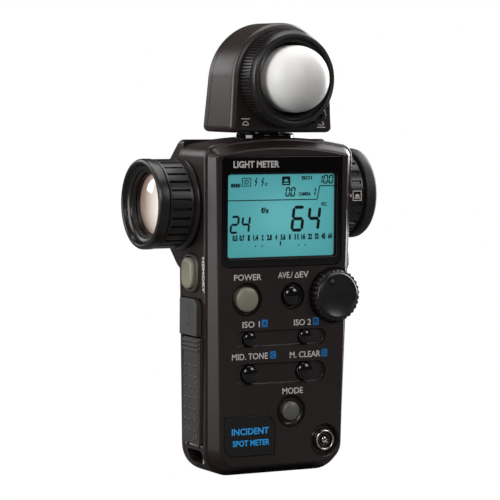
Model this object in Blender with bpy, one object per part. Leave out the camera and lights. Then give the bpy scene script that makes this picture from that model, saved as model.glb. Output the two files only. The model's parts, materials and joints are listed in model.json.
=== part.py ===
"""A handheld light meter: a flat upright body with a display and keys on its front, a spot finder tube that
crosses the top of the body from an objective on the left to an eyepiece on the right, and a swivelling head
with a white diffuser dome.

Sizes below are millimetres and become metres when a piece is finished. The origin is on the surface that the
meter stands on, under the middle of the body. X is to the right, -Y is the front and Z is up.
"""

import math

import bmesh
import bpy
from mathutils import Matrix, Vector

MM = 0.001
GAP = 0.3                       # clearance kept between neighbouring pieces
BORE_SIDES = 32                 # sides of the larger round pieces
SMALL_SIDES = 20                # sides of keys, shafts and screws

# Body casing
CASE_FRONT = -13.0              # y of the flat front face
CASE_BACK = 14.0                # y of the flat back of the lower body
PARTING = 9.3                   # y of the line where the two casings meet
CASE_FOOT_HALF = 29.5           # half width at the foot
CASE_FLARE = 0.02               # how much each side leans out per millimetre of height
CASE_TOP = 127.2                # z of the crown of the top
CASE_CROWN = 2.6                # how much lower the top is at its two ends
FOOT_RADIUS = 10.5
SHOULDER_RADIUS = 5.0
FACE_INSET = 3.7                # the front face is this much smaller than the outline all round
WALL = 2.2
FRONT_WALL_BACK = -9.8          # y of the inside of the front wall
CAVITY_BACK = 11.8              # y of the inside of the back wall
CAVITY_FLOOR = 12.0
BULGE_BACK = 25.0               # y of the back of the finder housing
BULGE_LOW, BULGE_HIGH = 77.0, 126.0
BULGE_SLOPE = 10.0              # height of each slanting flank

# Back: the (x, z) of each screw and of the tripod bush
SCREWS = ((-20.0, 9.0), (20.0, 9.0), (-20.0, 68.0), (20.0, 68.0))
SCREW_PROFILE = (
    (0, 5.0), (0.9, 5.0), (0.9, 13.0), (2.0, 13.0), (2.0, 13.5), (1.5, 13.8), (0.8, 13.8), (0.5, 13.3),
    (0, 13.3),
)
SCREW_BORE = ((0, 9.0), (1.3, 9.0), (1.3, 12.7), (2.3, 12.7), (2.3, 15.0), (0, 15.0))
TRIPOD = (0.0, 38.0)
TRIPOD_PROFILE = ((3.1, 5.5), (5.0, 5.5), (5.0, 13.6), (4.6, 13.9), (3.5, 13.9), (3.1, 13.5))
TRIPOD_BORE = 5.3

# Display
WINDOW = (-26.0, 25.3, 79.0, 120.2)        # x from, x to, z from, z to
WINDOW_FRONT, WINDOW_THICK = -12.7, 1.0
LCD = (-23.6, 23.6, 81.8, 114.2)
LCD_FRONT, LCD_BACK = -11.25, -9.5
LCD_FRAME = (-26.0, 26.0, -9.2, -7.2, 79.2, 116.4)
LCD_FRAME_HOLE = (-22.6, 22.6, -12.0, -4.0, 83.0, 113.0)
BACKLIGHT = (-22.2, 22.2, -9.1, -7.3, 83.4, 112.6)

# Flat inner pieces, seen from the front, and the y of their two faces
KEYPAD = (
    (-25.8, 14.5), (11.5, 14.5), (11.5, 17.8), (25.8, 17.8), (25.8, 56.0), (13.0, 56.0), (13.0, 75.0),
    (-25.8, 75.0),
)
MEMBRANE_FACES, KEY_BOARD_FACES = (-8.1, -7.4), (-7.1, -6.1)
MAIN_BOARD = (
    (-9.5, 14.0), (12.0, 14.0), (12.0, 19.0), (27.0, 19.0), (27.0, 56.0), (13.0, 56.0), (13.0, 70.0),
    (26.0, 79.0), (26.0, 118.0), (-26.0, 118.0), (-26.0, 79.0), (-9.5, 70.0),
)
MAIN_BOARD_FACES = (-5.2, -4.0)

# Keys on the front: x, z, cap radius, how far the cap stands above the face
KEYS = {
    "power_button": (-15.3, 66.9, 4.6, 1.3),
    "average_button": (4.2, 67.6, 3.7, 1.0),
    "iso_1_button": (-13.6, 51.9, 2.8, 0.4),
    "iso_2_button": (10.2, 52.0, 2.7, 0.4),
    "mid_tone_button": (-13.5, 38.6, 3.5, 0.6),
    "memory_clear_button": (10.1, 38.8, 3.5, 0.6),
    "mode_button": (4.0, 24.0, 3.6, 0.9),
}
WELLS = {"power_button": 6.5, "average_button": 5.3, "mode_button": 6.3}
WELL_FLOOR = -11.1
PILLS = {"iso": (-20.7, 19.2, 51.7, 3.4), "memory": (-20.6, 19.4, 38.55, 4.45)}
PILL_FLOOR = -11.8
KEY_FLANGE = 0.6                # the flange behind the wall that keeps a key in
KEY_FLANGE_THICK = 0.6

# Jog wheel
JOG_X, JOG_Z = 22.0, 67.4
JOG_RADIUS, JOG_FRONT, JOG_BACK = 10.0, -17.0, -11.4
JOG_LOBES, JOG_LOBE_DEPTH = 30, 0.7
JOG_SHAFT = 2.0
JOG_BUMP = (-1.8, 5.0)          # x and z of the finger bump, from the wheel's axis
ENCODER = (-6.2, 5.0, -6.0, 6.0, -8.1, -5.5)   # x, z and y spans from the same axis

# Sync terminal
SYNC_X, SYNC_Z = 19.0, 12.0
SYNC_RADIUS = 3.9
SYNC_PIN = ((0.45, -12.8), (1.2, -12.8), (1.2, -3.6), (0, -3.6), (0, -11.0), (0.45, -11.0))

# Plate at the lower left of the front
PLATE = (-24.4, -3.0, 8.0, 23.0)
PLATE_RADII = (4.5, 0.8, 5.0, 0.8)

# Left side, from the foot up: strap eyelet, battery door, socket cap, memory button
DOOR = (-4.3, 9.0, 12.1, 51.9)             # y from, y to, z from, z to
DOOR_OUTER, DOOR_THICK = -30.6, 2.0
HINGE_X, HINGE_Z = -29.4, 11.3             # the pin along the door's lower edge
HINGE_PIN, KNUCKLE = 0.45, 1.0             # radii
KNUCKLES = ((-3.4, -1.2), (5.8, 8.0))      # y from and to
CAP = (-3.0, 10.8, 52.7, 66.6)
DOOR_RIDGES, RIDGE_PITCH, RIDGE_TALL = 3, 1.7, 0.7
DOT_ROWS, DOT_COLUMNS = 7, 3
DOT_FIRST, DOT_PITCH = (-1.3, 16.9), (4.1, 4.08)   # y and z of the first dot, and the steps between dots
CAP_OUTER, CAP_THICK = -31.5, 2.2
SOCKET_SHELL = (1.3, 8.7, 55.5, 62.0)      # y from, y to, z from, z to
SOCKET_MOUTH = (2.0, 8.0, 56.2, 61.3)
SOCKET_FLANGE = (-0.4, 8.9, 54.4, 65.2)
SOCKET_FRONT, SOCKET_BACK = -28.9, -20.0   # x of the flange's face and of the closed end
MEMORY_Y, MEMORY_Z = 1.9, 76.4
MEMORY_HALF, BEZEL_HALF, BEZEL_HOLE = (4.6, 5.9), (6.3, 7.2), (5.0, 6.3)
MEMORY_LAYERS = ((-2.7, 0.62), (-2.4, 0.82), (-1.7, 0.96), (-0.9, 1.0), (2.4, 1.0))   # x from the side, scale
EYELET, EYELET_FLOOR = (-4.6, 7.0, 4.4, 9.6), -18.8
STRAP_BAR = (-25.1, 1.2)                   # x and y of the upright bar in the eyelet
CELL_X, CELL_Y, CELL_RADIUS = -19.3, 2.95, 8.5
CELL_LOW, CELL_HIGH = 13.6, 48.1

# Right side
MEASURE_Y, MEASURE_Z = 1.5, 80.4
MEASURE_HALF = (5.0, 5.8)
MEASURE_LAYERS = ((-2.6, 1.0), (1.6, 1.0), (3.2, 0.9), (4.2, 0.68), (4.6, 0.4))

# Spot finder: the objective axis and the eyepiece axis both run along X
OBJECTIVE_Y, OBJECTIVE_Z = 9.5, 102.0
EYEPIECE_Y, EYEPIECE_Z = 8.0, 105.0
OBJECTIVE_BORE, EYEPIECE_BORE = 14.0, 13.6
BARREL_PROFILE = (
    (11.4, -26.0), (13.5, -26.0), (13.5, -32.2), (17.3, -32.2), (17.3, -32.8), (16.2, -34.3), (14.3, -34.3),
    (14.3, -44.5), (11.4, -44.5),
)
SLEEVE_RADIUS, SLEEVE_LOBES, SLEEVE_ENDS, SLEEVE_BORE = 16.8, 30, (-44.5, -34.6), 14.6
FRONT_RING_PROFILE = (
    (12.0, -44.8), (17.0, -44.8), (17.0, -48.2), (16.5, -48.8), (15.8, -49.0), (14.6, -48.9), (14.0, -48.3),
    (13.4, -46.8), (12.0, -46.4),
)
OBJECTIVE_LENS_PROFILE = (
    (0, -45.0), (4.0, -44.75), (8.0, -44.0), (11.1, -42.8), (11.1, -41.0), (8.0, -40.2), (0, -39.6),
)
TUBE_PROFILE = ((9.0, 26.5), (13.1, 26.5), (13.1, 43.2), (12.4, 43.6), (9.6, 43.6), (9.0, 43.0))
DIAL_RADIUS, DIAL_LOBES, DIAL_ENDS, DIAL_BORE = 16.0, 24, (32.1, 38.2), 13.5
EYECUP_START = 39.0
EYECUP_PROFILE = (
    (13.5, 39.0), (16.6, 39.0), (17.4, 39.8), (17.4, 41.9), (16.9, 43.2), (15.8, 44.0), (14.4, 43.9),
    (13.5, 43.0),
)
EYE_LENS_PROFILE = ((0, 42.0), (4.0, 41.8), (8.6, 40.9), (8.6, 39.6), (4.0, 38.9), (0, 38.7))
LOBE_DEPTH, LOBE_SHARE = 0.6, 0.66
SPOT_SENSOR = (-5.0, 5.0, 7.0, 13.0, 86.0, 90.0)

# Head
SWIVEL_Y = 2.0
COLLAR_RADIUS = 10.9
STEM_RADIUS = 5.8
COLLAR_SEAT = 126.2
HEAD_LOW, HEAD_TOP = 129.0, 170.0
HEAD_FOOT_HALF = 22.0
HEAD_RADIUS = 20.0
HEAD_FRONT = -12.0
HEAD_SEAM, HEAD_SEAM_LEAN = 7.6, 0.10      # y of the seam at the foot, and how much it leans forward
HEAD_BACK, HEAD_BACK_LEAN = 12.4, 0.107
DOME_Z = 149.1
DOME_RADIUS = 12.8
DOME_BASE = -21.0                          # y of the dome's widest circle
RING_RADIUS, RING_BACK, RING_FRONT = 17.8, -13.2, -21.0
RING_LOBES = 40
TAB = (15.0, 21.0, -3.2, 3.2)              # distance from the ring's axis and half width
TAB_FACES, TAB_TURN = (-17.6, -14.0), math.radians(48)
DIMPLE_RADIUS, DIMPLE_OUT, DIMPLE_FLOOR = 1.2, 18.7, -16.6
BOSS_RADIUS = 17.0
CARRIER_PROFILE = ((9.0, -14.7), (13.1, -14.7), (13.1, -12.9), (9.0, -12.9))
SENSOR_PROFILE = ((0, -3.4), (5.0, -3.4), (5.0, -0.6), (0, -0.6))
SENSOR_BOARD = (-12.0, 12.0, -0.3, 0.9, 138.0, 160.0)

BLACK = (0.020, 0.015, 0.014)
SOFT_BLACK = (0.012, 0.011, 0.011)
GREY = (0.115, 0.115, 0.105)
BEIGE = (0.300, 0.290, 0.225)
STEEL = (0.55, 0.55, 0.53)
BRASS = (0.60, 0.45, 0.20)
GREEN = (0.03, 0.16, 0.07)
WHITE = (0.85, 0.84, 0.81)
TEAL = (0.12, 0.45, 0.48)
YELLOW = (0.75, 0.60, 0.10)
GLASS = (0.35, 0.35, 0.38)


def clear_scene():
    for obj in list(bpy.data.objects):
        bpy.data.objects.remove(obj)


# Helpers that turn a few points into closed solids


def finish(name, bm, colour, roughness=0.5, metallic=0.0, origin=(0, 0, 0)):
    """Makes the object of a bmesh, in metres, with its own material and its origin at a point."""
    bmesh.ops.remove_doubles(bm, verts=bm.verts, dist=0.0005)
    bmesh.ops.recalc_face_normals(bm, faces=bm.faces)
    bm.transform(Matrix.Scale(MM, 4) @ Matrix.Translation(-Vector(origin)))
    mesh = bpy.data.meshes.new(name)
    bm.to_mesh(mesh)
    bm.free()
    obj = bpy.data.objects.new(name, mesh)
    obj.location = Vector(origin) * MM
    bpy.context.scene.collection.objects.link(obj)
    material = bpy.data.materials.new(name)
    material.use_nodes = True
    shader = material.node_tree.nodes["Principled BSDF"]
    shader.inputs["Base Color"].default_value = (*colour, 1.0)
    shader.inputs["Roughness"].default_value = roughness
    shader.inputs["Metallic"].default_value = metallic
    mesh.materials.append(material)
    mesh.shade_smooth()
    mesh.set_sharp_from_angle(angle=math.radians(35))
    return obj


def cutter(name, bm):
    obj = finish(name, bm, BLACK)
    obj.hide_render = True
    obj.display_type = "WIRE"
    return obj


def boolean(obj, other, operation="DIFFERENCE"):
    modifier = obj.modifiers.new(other.name, "BOOLEAN")
    modifier.operation = operation
    modifier.solver = "EXACT"
    modifier.object = other


def loft(rings):
    """A closed solid through rings of points that each have the same count."""
    bm = bmesh.new()
    loops = [[bm.verts.new(point) for point in ring] for ring in rings]
    for one, two in zip(loops, loops[1:]):
        for i in range(len(one)):
            j = (i + 1) % len(one)
            bm.faces.new((one[i], one[j], two[j], two[i]))
    bm.faces.new(loops[0])
    bm.faces.new(list(reversed(loops[-1])))
    return bm


def slab(outline, start, end, axis="Y"):
    """An outline pushed along an axis. Its points are (x, z) for Y, (y, z) for X and (x, y) for Z."""
    place = {
        "X": lambda a, b, t: (t, a, b),
        "Y": lambda a, b, t: (a, t, b),
        "Z": lambda a, b, t: (a, b, t),
    }[axis]
    return loft([[place(a, b, t) for a, b in outline] for t in (start, end)])


def box(x0, x1, y0, y1, z0, z1):
    return slab([(x0, y0), (x1, y0), (x1, y1), (x0, y1)], z0, z1, "Z")


def disc_outline(ca, cb, radius, sides=SMALL_SIDES):
    turns = [2 * math.pi * (i + 0.5) / sides for i in range(sides)]
    return [(ca + radius * math.cos(t), cb + radius * math.sin(t)) for t in turns]


def rounded_outline(a0, a1, b0, b1, radii, steps=4):
    """A rectangle with its own radius at each corner, from the low left one anticlockwise."""
    if not isinstance(radii, tuple):
        radii = (radii,) * 4
    corners = [(a0, b0, 1, 1), (a1, b0, -1, 1), (a1, b1, -1, -1), (a0, b1, 1, -1)]
    points = []
    for k, ((a, b, sa, sb), r) in enumerate(zip(corners, radii)):
        for i in range(steps + 1):
            t = math.pi * (1 + k / 2) + math.pi / 2 * i / steps
            points.append((a + sa * r + r * math.cos(t), b + sb * r + r * math.sin(t)))
    return points


def pill_outline(a0, a1, b, radius, steps=8):
    return rounded_outline(a0, a1, b - radius, b + radius, radius, steps)


def turned(profile, axis, centre, sides=BORE_SIDES):
    """A closed profile of (radius, distance along the axis) spun round X, Y or Z."""
    bm = bmesh.new()
    along = {"X": Vector((1, 0, 0)), "Y": Vector((0, 1, 0)), "Z": Vector((0, 0, 1))}[axis]
    out = {"X": Vector((0, 0, 1)), "Y": Vector((1, 0, 0)), "Z": Vector((1, 0, 0))}[axis]
    centre = Vector(centre)
    verts = [bm.verts.new(centre + out * r + along * a) for r, a in profile]
    radii = [r for r, _ in profile]
    edges = []
    for i, vert in enumerate(verts):
        j = (i + 1) % len(verts)
        if radii[i] > 0 or radii[j] > 0:
            edges.append(bm.edges.new((vert, verts[j])))
    bmesh.ops.spin(
        bm, geom=verts + edges, cent=centre, axis=along, angle=2 * math.pi, steps=sides, use_merge=True
    )
    bmesh.ops.remove_doubles(bm, verts=bm.verts, dist=0.0005)
    return bm


def lobed_outline(ca, cb, outer, inner, lobes, flat=0.5):
    """A round outline with raised lobes; flat is the share of each step that stands high."""
    points = []
    for i in range(lobes):
        for share, radius in ((0.0, outer), (flat, outer), (flat + 0.12, inner), (0.88, inner)):
            t = 2 * math.pi * (i + share) / lobes
            points.append((ca + radius * math.cos(t), cb + radius * math.sin(t)))
    return points


# Casing outlines


def case_half(z):
    return CASE_FOOT_HALF + CASE_FLARE * z


def case_outline(inset, top_inset=None):
    """The body seen from the front, made smaller all round by inset: points (x, z) anticlockwise."""
    top_inset = inset if top_inset is None else top_inset
    foot = max(FOOT_RADIUS - 0.8 * inset, 3.0)
    shoulder = max(SHOULDER_RADIUS - 0.6 * inset, 1.2)
    points = []
    for side, start in ((1, -90), (-1, 180)):
        quarter = []
        for i in range(7):
            t = math.radians(start + 15 * i)
            x = side * (case_half(0) - inset - foot) + foot * math.cos(t)
            z = inset + foot + foot * math.sin(t)
            quarter.append((x, z))
        if side == 1:
            points += quarter
        else:
            left = quarter
    end = case_half(CASE_TOP) - inset
    end_top = CASE_TOP - CASE_CROWN - top_inset
    for i in range(5):
        t = math.radians(22.5 * i)
        points.append((end - shoulder + shoulder * math.cos(t), end_top - shoulder + shoulder * math.sin(t)))
    for i in range(1, 8):
        x = (end - shoulder) * (1 - i / 4)
        points.append((x, end_top + CASE_CROWN * (1 - (x / (end - shoulder)) ** 2)))
    for i in range(5):
        t = math.radians(90 + 22.5 * i)
        points.append((-end + shoulder + shoulder * math.cos(t), end_top - shoulder + shoulder * math.sin(t)))
    return points + left


def ridge_y(z):
    """The side ridge runs nearer the back towards the foot, so the bevel there is wider."""
    return CASE_FRONT + 3.0 + 0.054 * max(60.0 - z, 0.0)


def case_ring(y, inset, top_inset=None):
    return [(x, y(z) if callable(y) else y, z) for x, z in case_outline(inset, top_inset)]


def cavity_ring(y, inset, top_inset):
    """The inside of the body above the block at its foot."""
    half = case_half(CAVITY_FLOOR) - inset
    outline = case_outline(inset, top_inset)[7:-7]
    return [(half, y, CAVITY_FLOOR)] + [(x, y, z) for x, z in outline] + [(-half, y, CAVITY_FLOOR)]


def bulge_outline(inset):
    low, high = BULGE_LOW + inset, BULGE_HIGH - inset
    back = BULGE_BACK - inset
    start = PARTING - 2.0
    return [
        (start, low), (14.0, low), (back - 0.8, low + BULGE_SLOPE), (back, low + BULGE_SLOPE + 1.6),
        (back, high - BULGE_SLOPE - 1.6), (back - 0.8, high - BULGE_SLOPE), (14.0, high - 0.6),
        (start, high - 0.6),
    ]


# Cutters shared by the two casings


def shared_cutters():
    """The two finder bores, the collar's seat, the stem's hole and the room for the socket cap."""
    objective = disc_outline(OBJECTIVE_Y, OBJECTIVE_Z, OBJECTIVE_BORE, BORE_SIDES)
    eyepiece_bore = disc_outline(EYEPIECE_Y, EYEPIECE_Z, EYEPIECE_BORE, BORE_SIDES)
    seat = disc_outline(0, SWIVEL_Y, COLLAR_RADIUS + 0.4, BORE_SIDES)
    stem = disc_outline(0, SWIVEL_Y, STEM_RADIUS + 0.5, SMALL_SIDES)
    y0, y1, z0, z1 = CAP
    flap = rounded_outline(y0 - 0.5, y1 + 0.5, z0 - 0.3, z1 + 0.4, (0.6, 0.6, 0.6, 3.0))
    return [
        cutter("cut_objective_bore", slab(objective, -36, -24, "X")),
        cutter("cut_eyepiece_bore", slab(eyepiece_bore, 24, 36, "X")),
        cutter("cut_collar_seat", slab(seat, COLLAR_SEAT, 130, "Z")),
        cutter("cut_stem", slab(stem, 120, 130, "Z")),
        cutter("cut_cap", slab(flap, -34, CAP_OUTER + CAP_THICK + 0.3, "X")),
    ]


# Casings


def case_shell():
    """The front casing's outside, hollowed out above the solid block at its foot."""
    rings = [
        case_ring(CASE_FRONT, FACE_INSET),
        case_ring(CASE_FRONT + 0.5, FACE_INSET - 0.75),
        case_ring(lambda z: ridge_y(z) - 0.5, 0.45),
        case_ring(lambda z: ridge_y(z) + 0.6, 0.0),
        case_ring(PARTING - GAP / 2, 0.0),
    ]
    case = finish("front_case", loft(rings), BLACK, 0.42)
    cavity = [
        cavity_ring(FRONT_WALL_BACK, FACE_INSET + 1.6, 6.5),
        cavity_ring(-6.5, WALL + 0.2, 4.0),
        cavity_ring(PARTING + 1.0, WALL, 3.8),
    ]
    boolean(case, cutter("cut_front_cavity", loft(cavity)))
    boolean(case, cutter("cut_front_sump", box(-15.5, 12.0, -9.0, PARTING + 1.0, 2.4, CAVITY_FLOOR + 0.6)))
    return case


def cut_display(case):
    x0, x1, z0, z1 = WINDOW
    frame = rounded_outline(x0 - 0.3, x1 + 0.3, z0 - 0.3, z1 + 0.3, (3.2, 3.2, 1.2, 1.2))
    boolean(case, cutter("cut_window", slab(frame, -15, WINDOW_FRONT + WINDOW_THICK + 0.25)))
    x0, x1, z0, z1 = LCD
    opening = rounded_outline(x0 - 0.4, x1 + 0.4, z0 - 0.4, z1 + 0.4, 1.0)
    boolean(case, cutter("cut_lcd", slab(opening, -14, -8)))


def cut_keys(case):
    for name, (a, b, z, r) in PILLS.items():
        recess = [
            [(x, CASE_FRONT - 0.6, h) for x, h in pill_outline(a - 0.5, b + 0.5, z, r + 0.5)],
            [(x, PILL_FLOOR, h) for x, h in pill_outline(a + 0.5, b - 0.5, z, r - 0.5)],
        ]
        boolean(case, cutter(f"cut_{name}_recess", loft(recess)))
    for name, (x, z, r, proud) in KEYS.items():
        if name in WELLS:
            wide = WELLS[name]
            brim = CASE_FRONT - 0.6
            profile = [(0, brim), (wide + 0.4, brim), (r + 0.9, WELL_FLOOR), (0, WELL_FLOOR)]
            boolean(case, cutter(f"cut_{name}_well", turned(profile, "Y", (x, 0, z), SMALL_SIDES)))
        hole = slab(disc_outline(x, z, r + GAP), CASE_FRONT - 0.2, FRONT_WALL_BACK + 0.8)
        boolean(case, cutter(f"cut_{name}_hole", hole))


def cut_front_fittings(case):
    """Room for the jog wheel, the sync terminal and the plate."""
    pocket = disc_outline(JOG_X, JOG_Z, JOG_RADIUS + 0.8, BORE_SIDES)
    boolean(case, cutter("cut_jog_pocket", slab(pocket, -20, JOG_BACK + 0.4)))
    boolean(case, cutter("cut_jog_shaft", slab(disc_outline(JOG_X, JOG_Z, JOG_SHAFT + 0.4), -14, -8.5)))
    recess = slab(disc_outline(SYNC_X, SYNC_Z, SYNC_RADIUS + 1.8), -15, -10.6)
    boolean(case, cutter("cut_sync_recess", recess))
    boolean(case, cutter("cut_sync_bore", slab(disc_outline(SYNC_X, SYNC_Z, SYNC_RADIUS + GAP), -14, 0.4)))
    boolean(case, cutter("cut_plate", slab(plate_outline(0.3), -15, CASE_FRONT + 0.9)))


def cut_side_fittings(case):
    """Room for the battery door and its pin, the strap eyelet, the side keys and the data socket."""
    y0, y1, z0, z1 = DOOR
    door = box(-34, DOOR_OUTER + DOOR_THICK + 0.9, y0 - 0.5, PARTING + 1.0, z0 - 0.5, z1 + 0.35)
    boolean(case, cutter("cut_door", door))
    opening = box(-34, -25, y0 + 0.9, PARTING + 1.0, z0 + 1.2, z1 - 1.5)
    boolean(case, cutter("cut_battery", opening))
    pin_hole = disc_outline(HINGE_X, HINGE_Z, HINGE_PIN + GAP, 12)
    boolean(case, cutter("cut_door_pin", slab(pin_hole, -5.6, PARTING + 1.0)))
    for i, (a, b) in enumerate(KNUCKLES):
        room = disc_outline(HINGE_X, HINGE_Z, KNUCKLE + 0.3, 12)
        boolean(case, cutter(f"cut_knuckle_{i + 1}", slab(room, a - GAP, b + GAP)))
    y0, y1, z0, z1 = EYELET
    boolean(case, cutter("cut_eyelet", slab(rounded_outline(y0, y1, z0, z1, 1.5), -34, EYELET_FLOOR, "X")))
    x, y = STRAP_BAR
    boolean(case, cutter("cut_strap_bar", slab(disc_outline(x, y, 1.2, 12), z0 - 1.2, z1 + 1.2, "Z")))
    half_y, half_z = BEZEL_HALF
    oval = pill_outline_z(MEMORY_Y - 0.4, MEMORY_Z, half_y + GAP, half_z + GAP)
    boolean(case, cutter("cut_memory", slab(oval, -35, -26, "X")))
    half_y, half_z = MEASURE_HALF
    oval = pill_outline_z(MEASURE_Y, MEASURE_Z, half_y + GAP, half_z + GAP)
    boolean(case, cutter("cut_measure", slab(oval, 26, 35, "X")))
    y0, y1, z0, z1 = SOCKET_FLANGE
    boolean(case, cutter("cut_usb", box(-34, -25, y0 - GAP, PARTING + 1.0, z0 - GAP, z1 + GAP)))


def front_case(shared):
    case = case_shell()
    cut_display(case)
    cut_keys(case)
    cut_front_fittings(case)
    cut_side_fittings(case)
    for i, (x, z) in enumerate(SCREWS):
        hole = slab(disc_outline(x, z, 1.2, 12), 4.0, PARTING + 1.0)
        boolean(case, cutter(f"cut_screw_hole_{i + 1}", hole))
    for piece in shared:
        boolean(case, piece)


def pill_outline_z(ca, cb, half_a, half_b):
    """An upright oval, wider at its middle than its round ends."""
    points = []
    for i in range(SMALL_SIDES):
        t = 2 * math.pi * (i + 0.5) / SMALL_SIDES
        bend = 0.75
        a = math.copysign(abs(math.cos(t)) ** bend, math.cos(t))
        b = math.copysign(abs(math.sin(t)) ** bend, math.sin(t))
        points.append((ca + half_a * a, cb + half_b * b))
    return points


def plate_outline(grow):
    x0, x1, z0, z1 = PLATE
    return rounded_outline(x0 - grow, x1 + grow, z0 - grow, z1 + grow, PLATE_RADII)


def rear_case(shared):
    rings = [
        case_ring(PARTING + GAP / 2, 0.0),
        case_ring(PARTING + 1.4, 0.3),
        case_ring(CASE_BACK - 0.8, 2.6),
        case_ring(CASE_BACK, 4.2),
    ]
    case = finish("rear_case", loft(rings), BLACK, 0.42)
    half = case_half(100) - 1.3
    outer = [
        [(x, max(y, PARTING + GAP / 2), z) for y, z in bulge_outline(inset)]
        for x, inset in ((-half - 0.6, 1.4), (-half + 0.8, 0.0), (half - 0.8, 0.0), (half + 0.6, 1.4))
    ]
    boolean(case, cutter("join_finder_housing", loft(outer)), "UNION")
    cavity = [
        case_ring(PARTING - 1.0, WALL, 3.8),
        case_ring(CAVITY_BACK - 1.0, WALL + 0.8, 4.6),
        case_ring(CAVITY_BACK, 5.6, 6.6),
    ]
    boolean(case, cutter("cut_rear_cavity", loft(cavity)))
    inner = slab(bulge_outline(WALL), -half + WALL, half - WALL, "X")
    boolean(case, cutter("cut_finder_cavity", inner))
    for i, (x, z) in enumerate(SCREWS):
        boolean(case, cutter(f"cut_screw_{i + 1}", turned(SCREW_BORE, "Y", (x, 0, z), 12)))
    x, z = TRIPOD
    boolean(case, cutter("cut_bush", slab(disc_outline(x, z, TRIPOD_BORE), 9, 16)))
    for piece in shared:
        boolean(case, piece)


def case_screws():
    for i, (x, z) in enumerate(SCREWS):
        finish(f"case_screw_{i + 1}", turned(SCREW_PROFILE, "Y", (x, 0, z), 12), STEEL, 0.35, 1.0)


def tripod_bush():
    x, z = TRIPOD
    finish("tripod_bush", turned(TRIPOD_PROFILE, "Y", (x, 0, z), SMALL_SIDES), STEEL, 0.3, 1.0)


# Display


def display():
    x0, x1, z0, z1 = WINDOW
    front, back = WINDOW_FRONT, WINDOW_FRONT + WINDOW_THICK
    plate = [
        [(x, y, z) for x, z in rounded_outline(x0 + i, x1 - i, z0 + i, z1 - i, (3.0, 3.0, 1.0, 1.0))]
        for y, i in ((front, 0.25), (front + 0.25, 0.0), (back, 0.0))
    ]
    finish("display_window", loft(plate), SOFT_BLACK, 0.08)
    x0, x1, z0, z1 = LCD
    finish("lcd_panel", slab(rounded_outline(x0, x1, z0, z1, 0.8, 2), LCD_FRONT, LCD_BACK), TEAL, 0.2)
    frame = finish("lcd_frame", box(*LCD_FRAME), GREY, 0.5)
    boolean(frame, cutter("cut_lcd_frame", box(*LCD_FRAME_HOLE)))
    finish("lcd_backlight", box(*BACKLIGHT), WHITE, 0.3)


def boards():
    finish("keypad_membrane", slab(KEYPAD, *MEMBRANE_FACES), GREY, 0.7)
    finish("key_board", slab(KEYPAD, *KEY_BOARD_FACES), GREEN, 0.5)
    finish("main_board", slab(MAIN_BOARD, *MAIN_BOARD_FACES), GREEN, 0.5)


# Keys and jog wheel


def key(name, x, z, radius, proud, colour):
    """A domed cap on a stem, with a flange behind the front wall."""
    top = CASE_FRONT - proud
    flange_front = FRONT_WALL_BACK + 0.1
    flange = flange_front + KEY_FLANGE_THICK
    dome = radius * 0.28
    cap = [(0, 0), (0.45, 0.12), (0.8, 0.5), (1, 1.25)]
    profile = [(radius * a, top + dome * b) for a, b in cap]
    profile += [(radius, flange_front), (radius + KEY_FLANGE, flange_front)]
    profile += [(radius + KEY_FLANGE, flange), (0, flange)]
    finish(name, turned(profile, "Y", (x, 0, z), SMALL_SIDES), colour, 0.3, origin=(x, CASE_FRONT, z))


def keys():
    colours = {"power_button": BEIGE, "mode_button": GREY}
    for name, (x, z, radius, proud) in KEYS.items():
        key(name, x, z, radius, proud, colours.get(name, SOFT_BLACK))


def jog_wheel():
    """The knurled wheel with its dished face, finger bump and shaft, and the encoder that holds the shaft."""
    lobes = lobed_outline(JOG_X, JOG_Z, JOG_RADIUS, JOG_RADIUS - JOG_LOBE_DEPTH, JOG_LOBES, 0.45)
    rim = slab(lobes, JOG_FRONT + 1.0, JOG_BACK)
    wheel = finish("jog_wheel", rim, SOFT_BLACK, 0.35, origin=(JOG_X, JOG_FRONT, JOG_Z))
    dish = [(0, 1.2), (6.8, 0.5), (7.6, 0), (8.1, 0), (8.6, 1.4)]
    face = [(r, JOG_FRONT + depth) for r, depth in dish] + [(0, JOG_BACK - 1)]
    boolean(wheel, cutter("join_jog_face", turned(face, "Y", (JOG_X, 0, JOG_Z), BORE_SIDES)), "UNION")
    stem = slab(disc_outline(JOG_X, JOG_Z, JOG_SHAFT), JOG_BACK - 1.5, -8.6)
    boolean(wheel, cutter("join_jog_shaft", stem), "UNION")
    right, up = JOG_BUMP
    bump = [(r, JOG_FRONT + depth) for r, depth in ((0, -0.6), (0.7, -0.35), (1.2, 0.5), (1.3, 2), (0, 2))]
    bump = turned(bump, "Y", (JOG_X + right, 0, JOG_Z + up), 12)
    boolean(wheel, cutter("join_jog_bump", bump), "UNION")
    x0, x1, z0, z1, y0, y1 = ENCODER
    outline = rounded_outline(JOG_X + x0, JOG_X + x1, JOG_Z + z0, JOG_Z + z1, 1.0, 2)
    finish("jog_encoder", slab(outline, y0, y1), STEEL, 0.4, 1.0)


# Sync terminal and plate


def sync_terminal():
    centre = (SYNC_X, 0, SYNC_Z)
    r = SYNC_RADIUS
    shell = [(r - 0.7, -13.2), (r - 0.3, -13.4), (r, -13.1), (r, -4.0), (r - 0.7, -4.0)]
    finish("sync_terminal_shell", turned(shell, "Y", centre, SMALL_SIDES), STEEL, 0.25, 1.0)
    core = [(1.5, -12.4), (r - 1.0, -12.4), (r - 1.0, -4.2), (1.5, -4.2)]
    finish("sync_terminal_insulator", turned(core, "Y", centre, SMALL_SIDES), SOFT_BLACK, 0.5)
    finish("sync_terminal_pin", turned(SYNC_PIN, "Y", centre, 16), BRASS, 0.3, 1.0)


def name_plate():
    finish("name_plate", slab(plate_outline(0.0), CASE_FRONT + 0.1, CASE_FRONT + 0.65), SOFT_BLACK, 0.15)


# Left side


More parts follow.
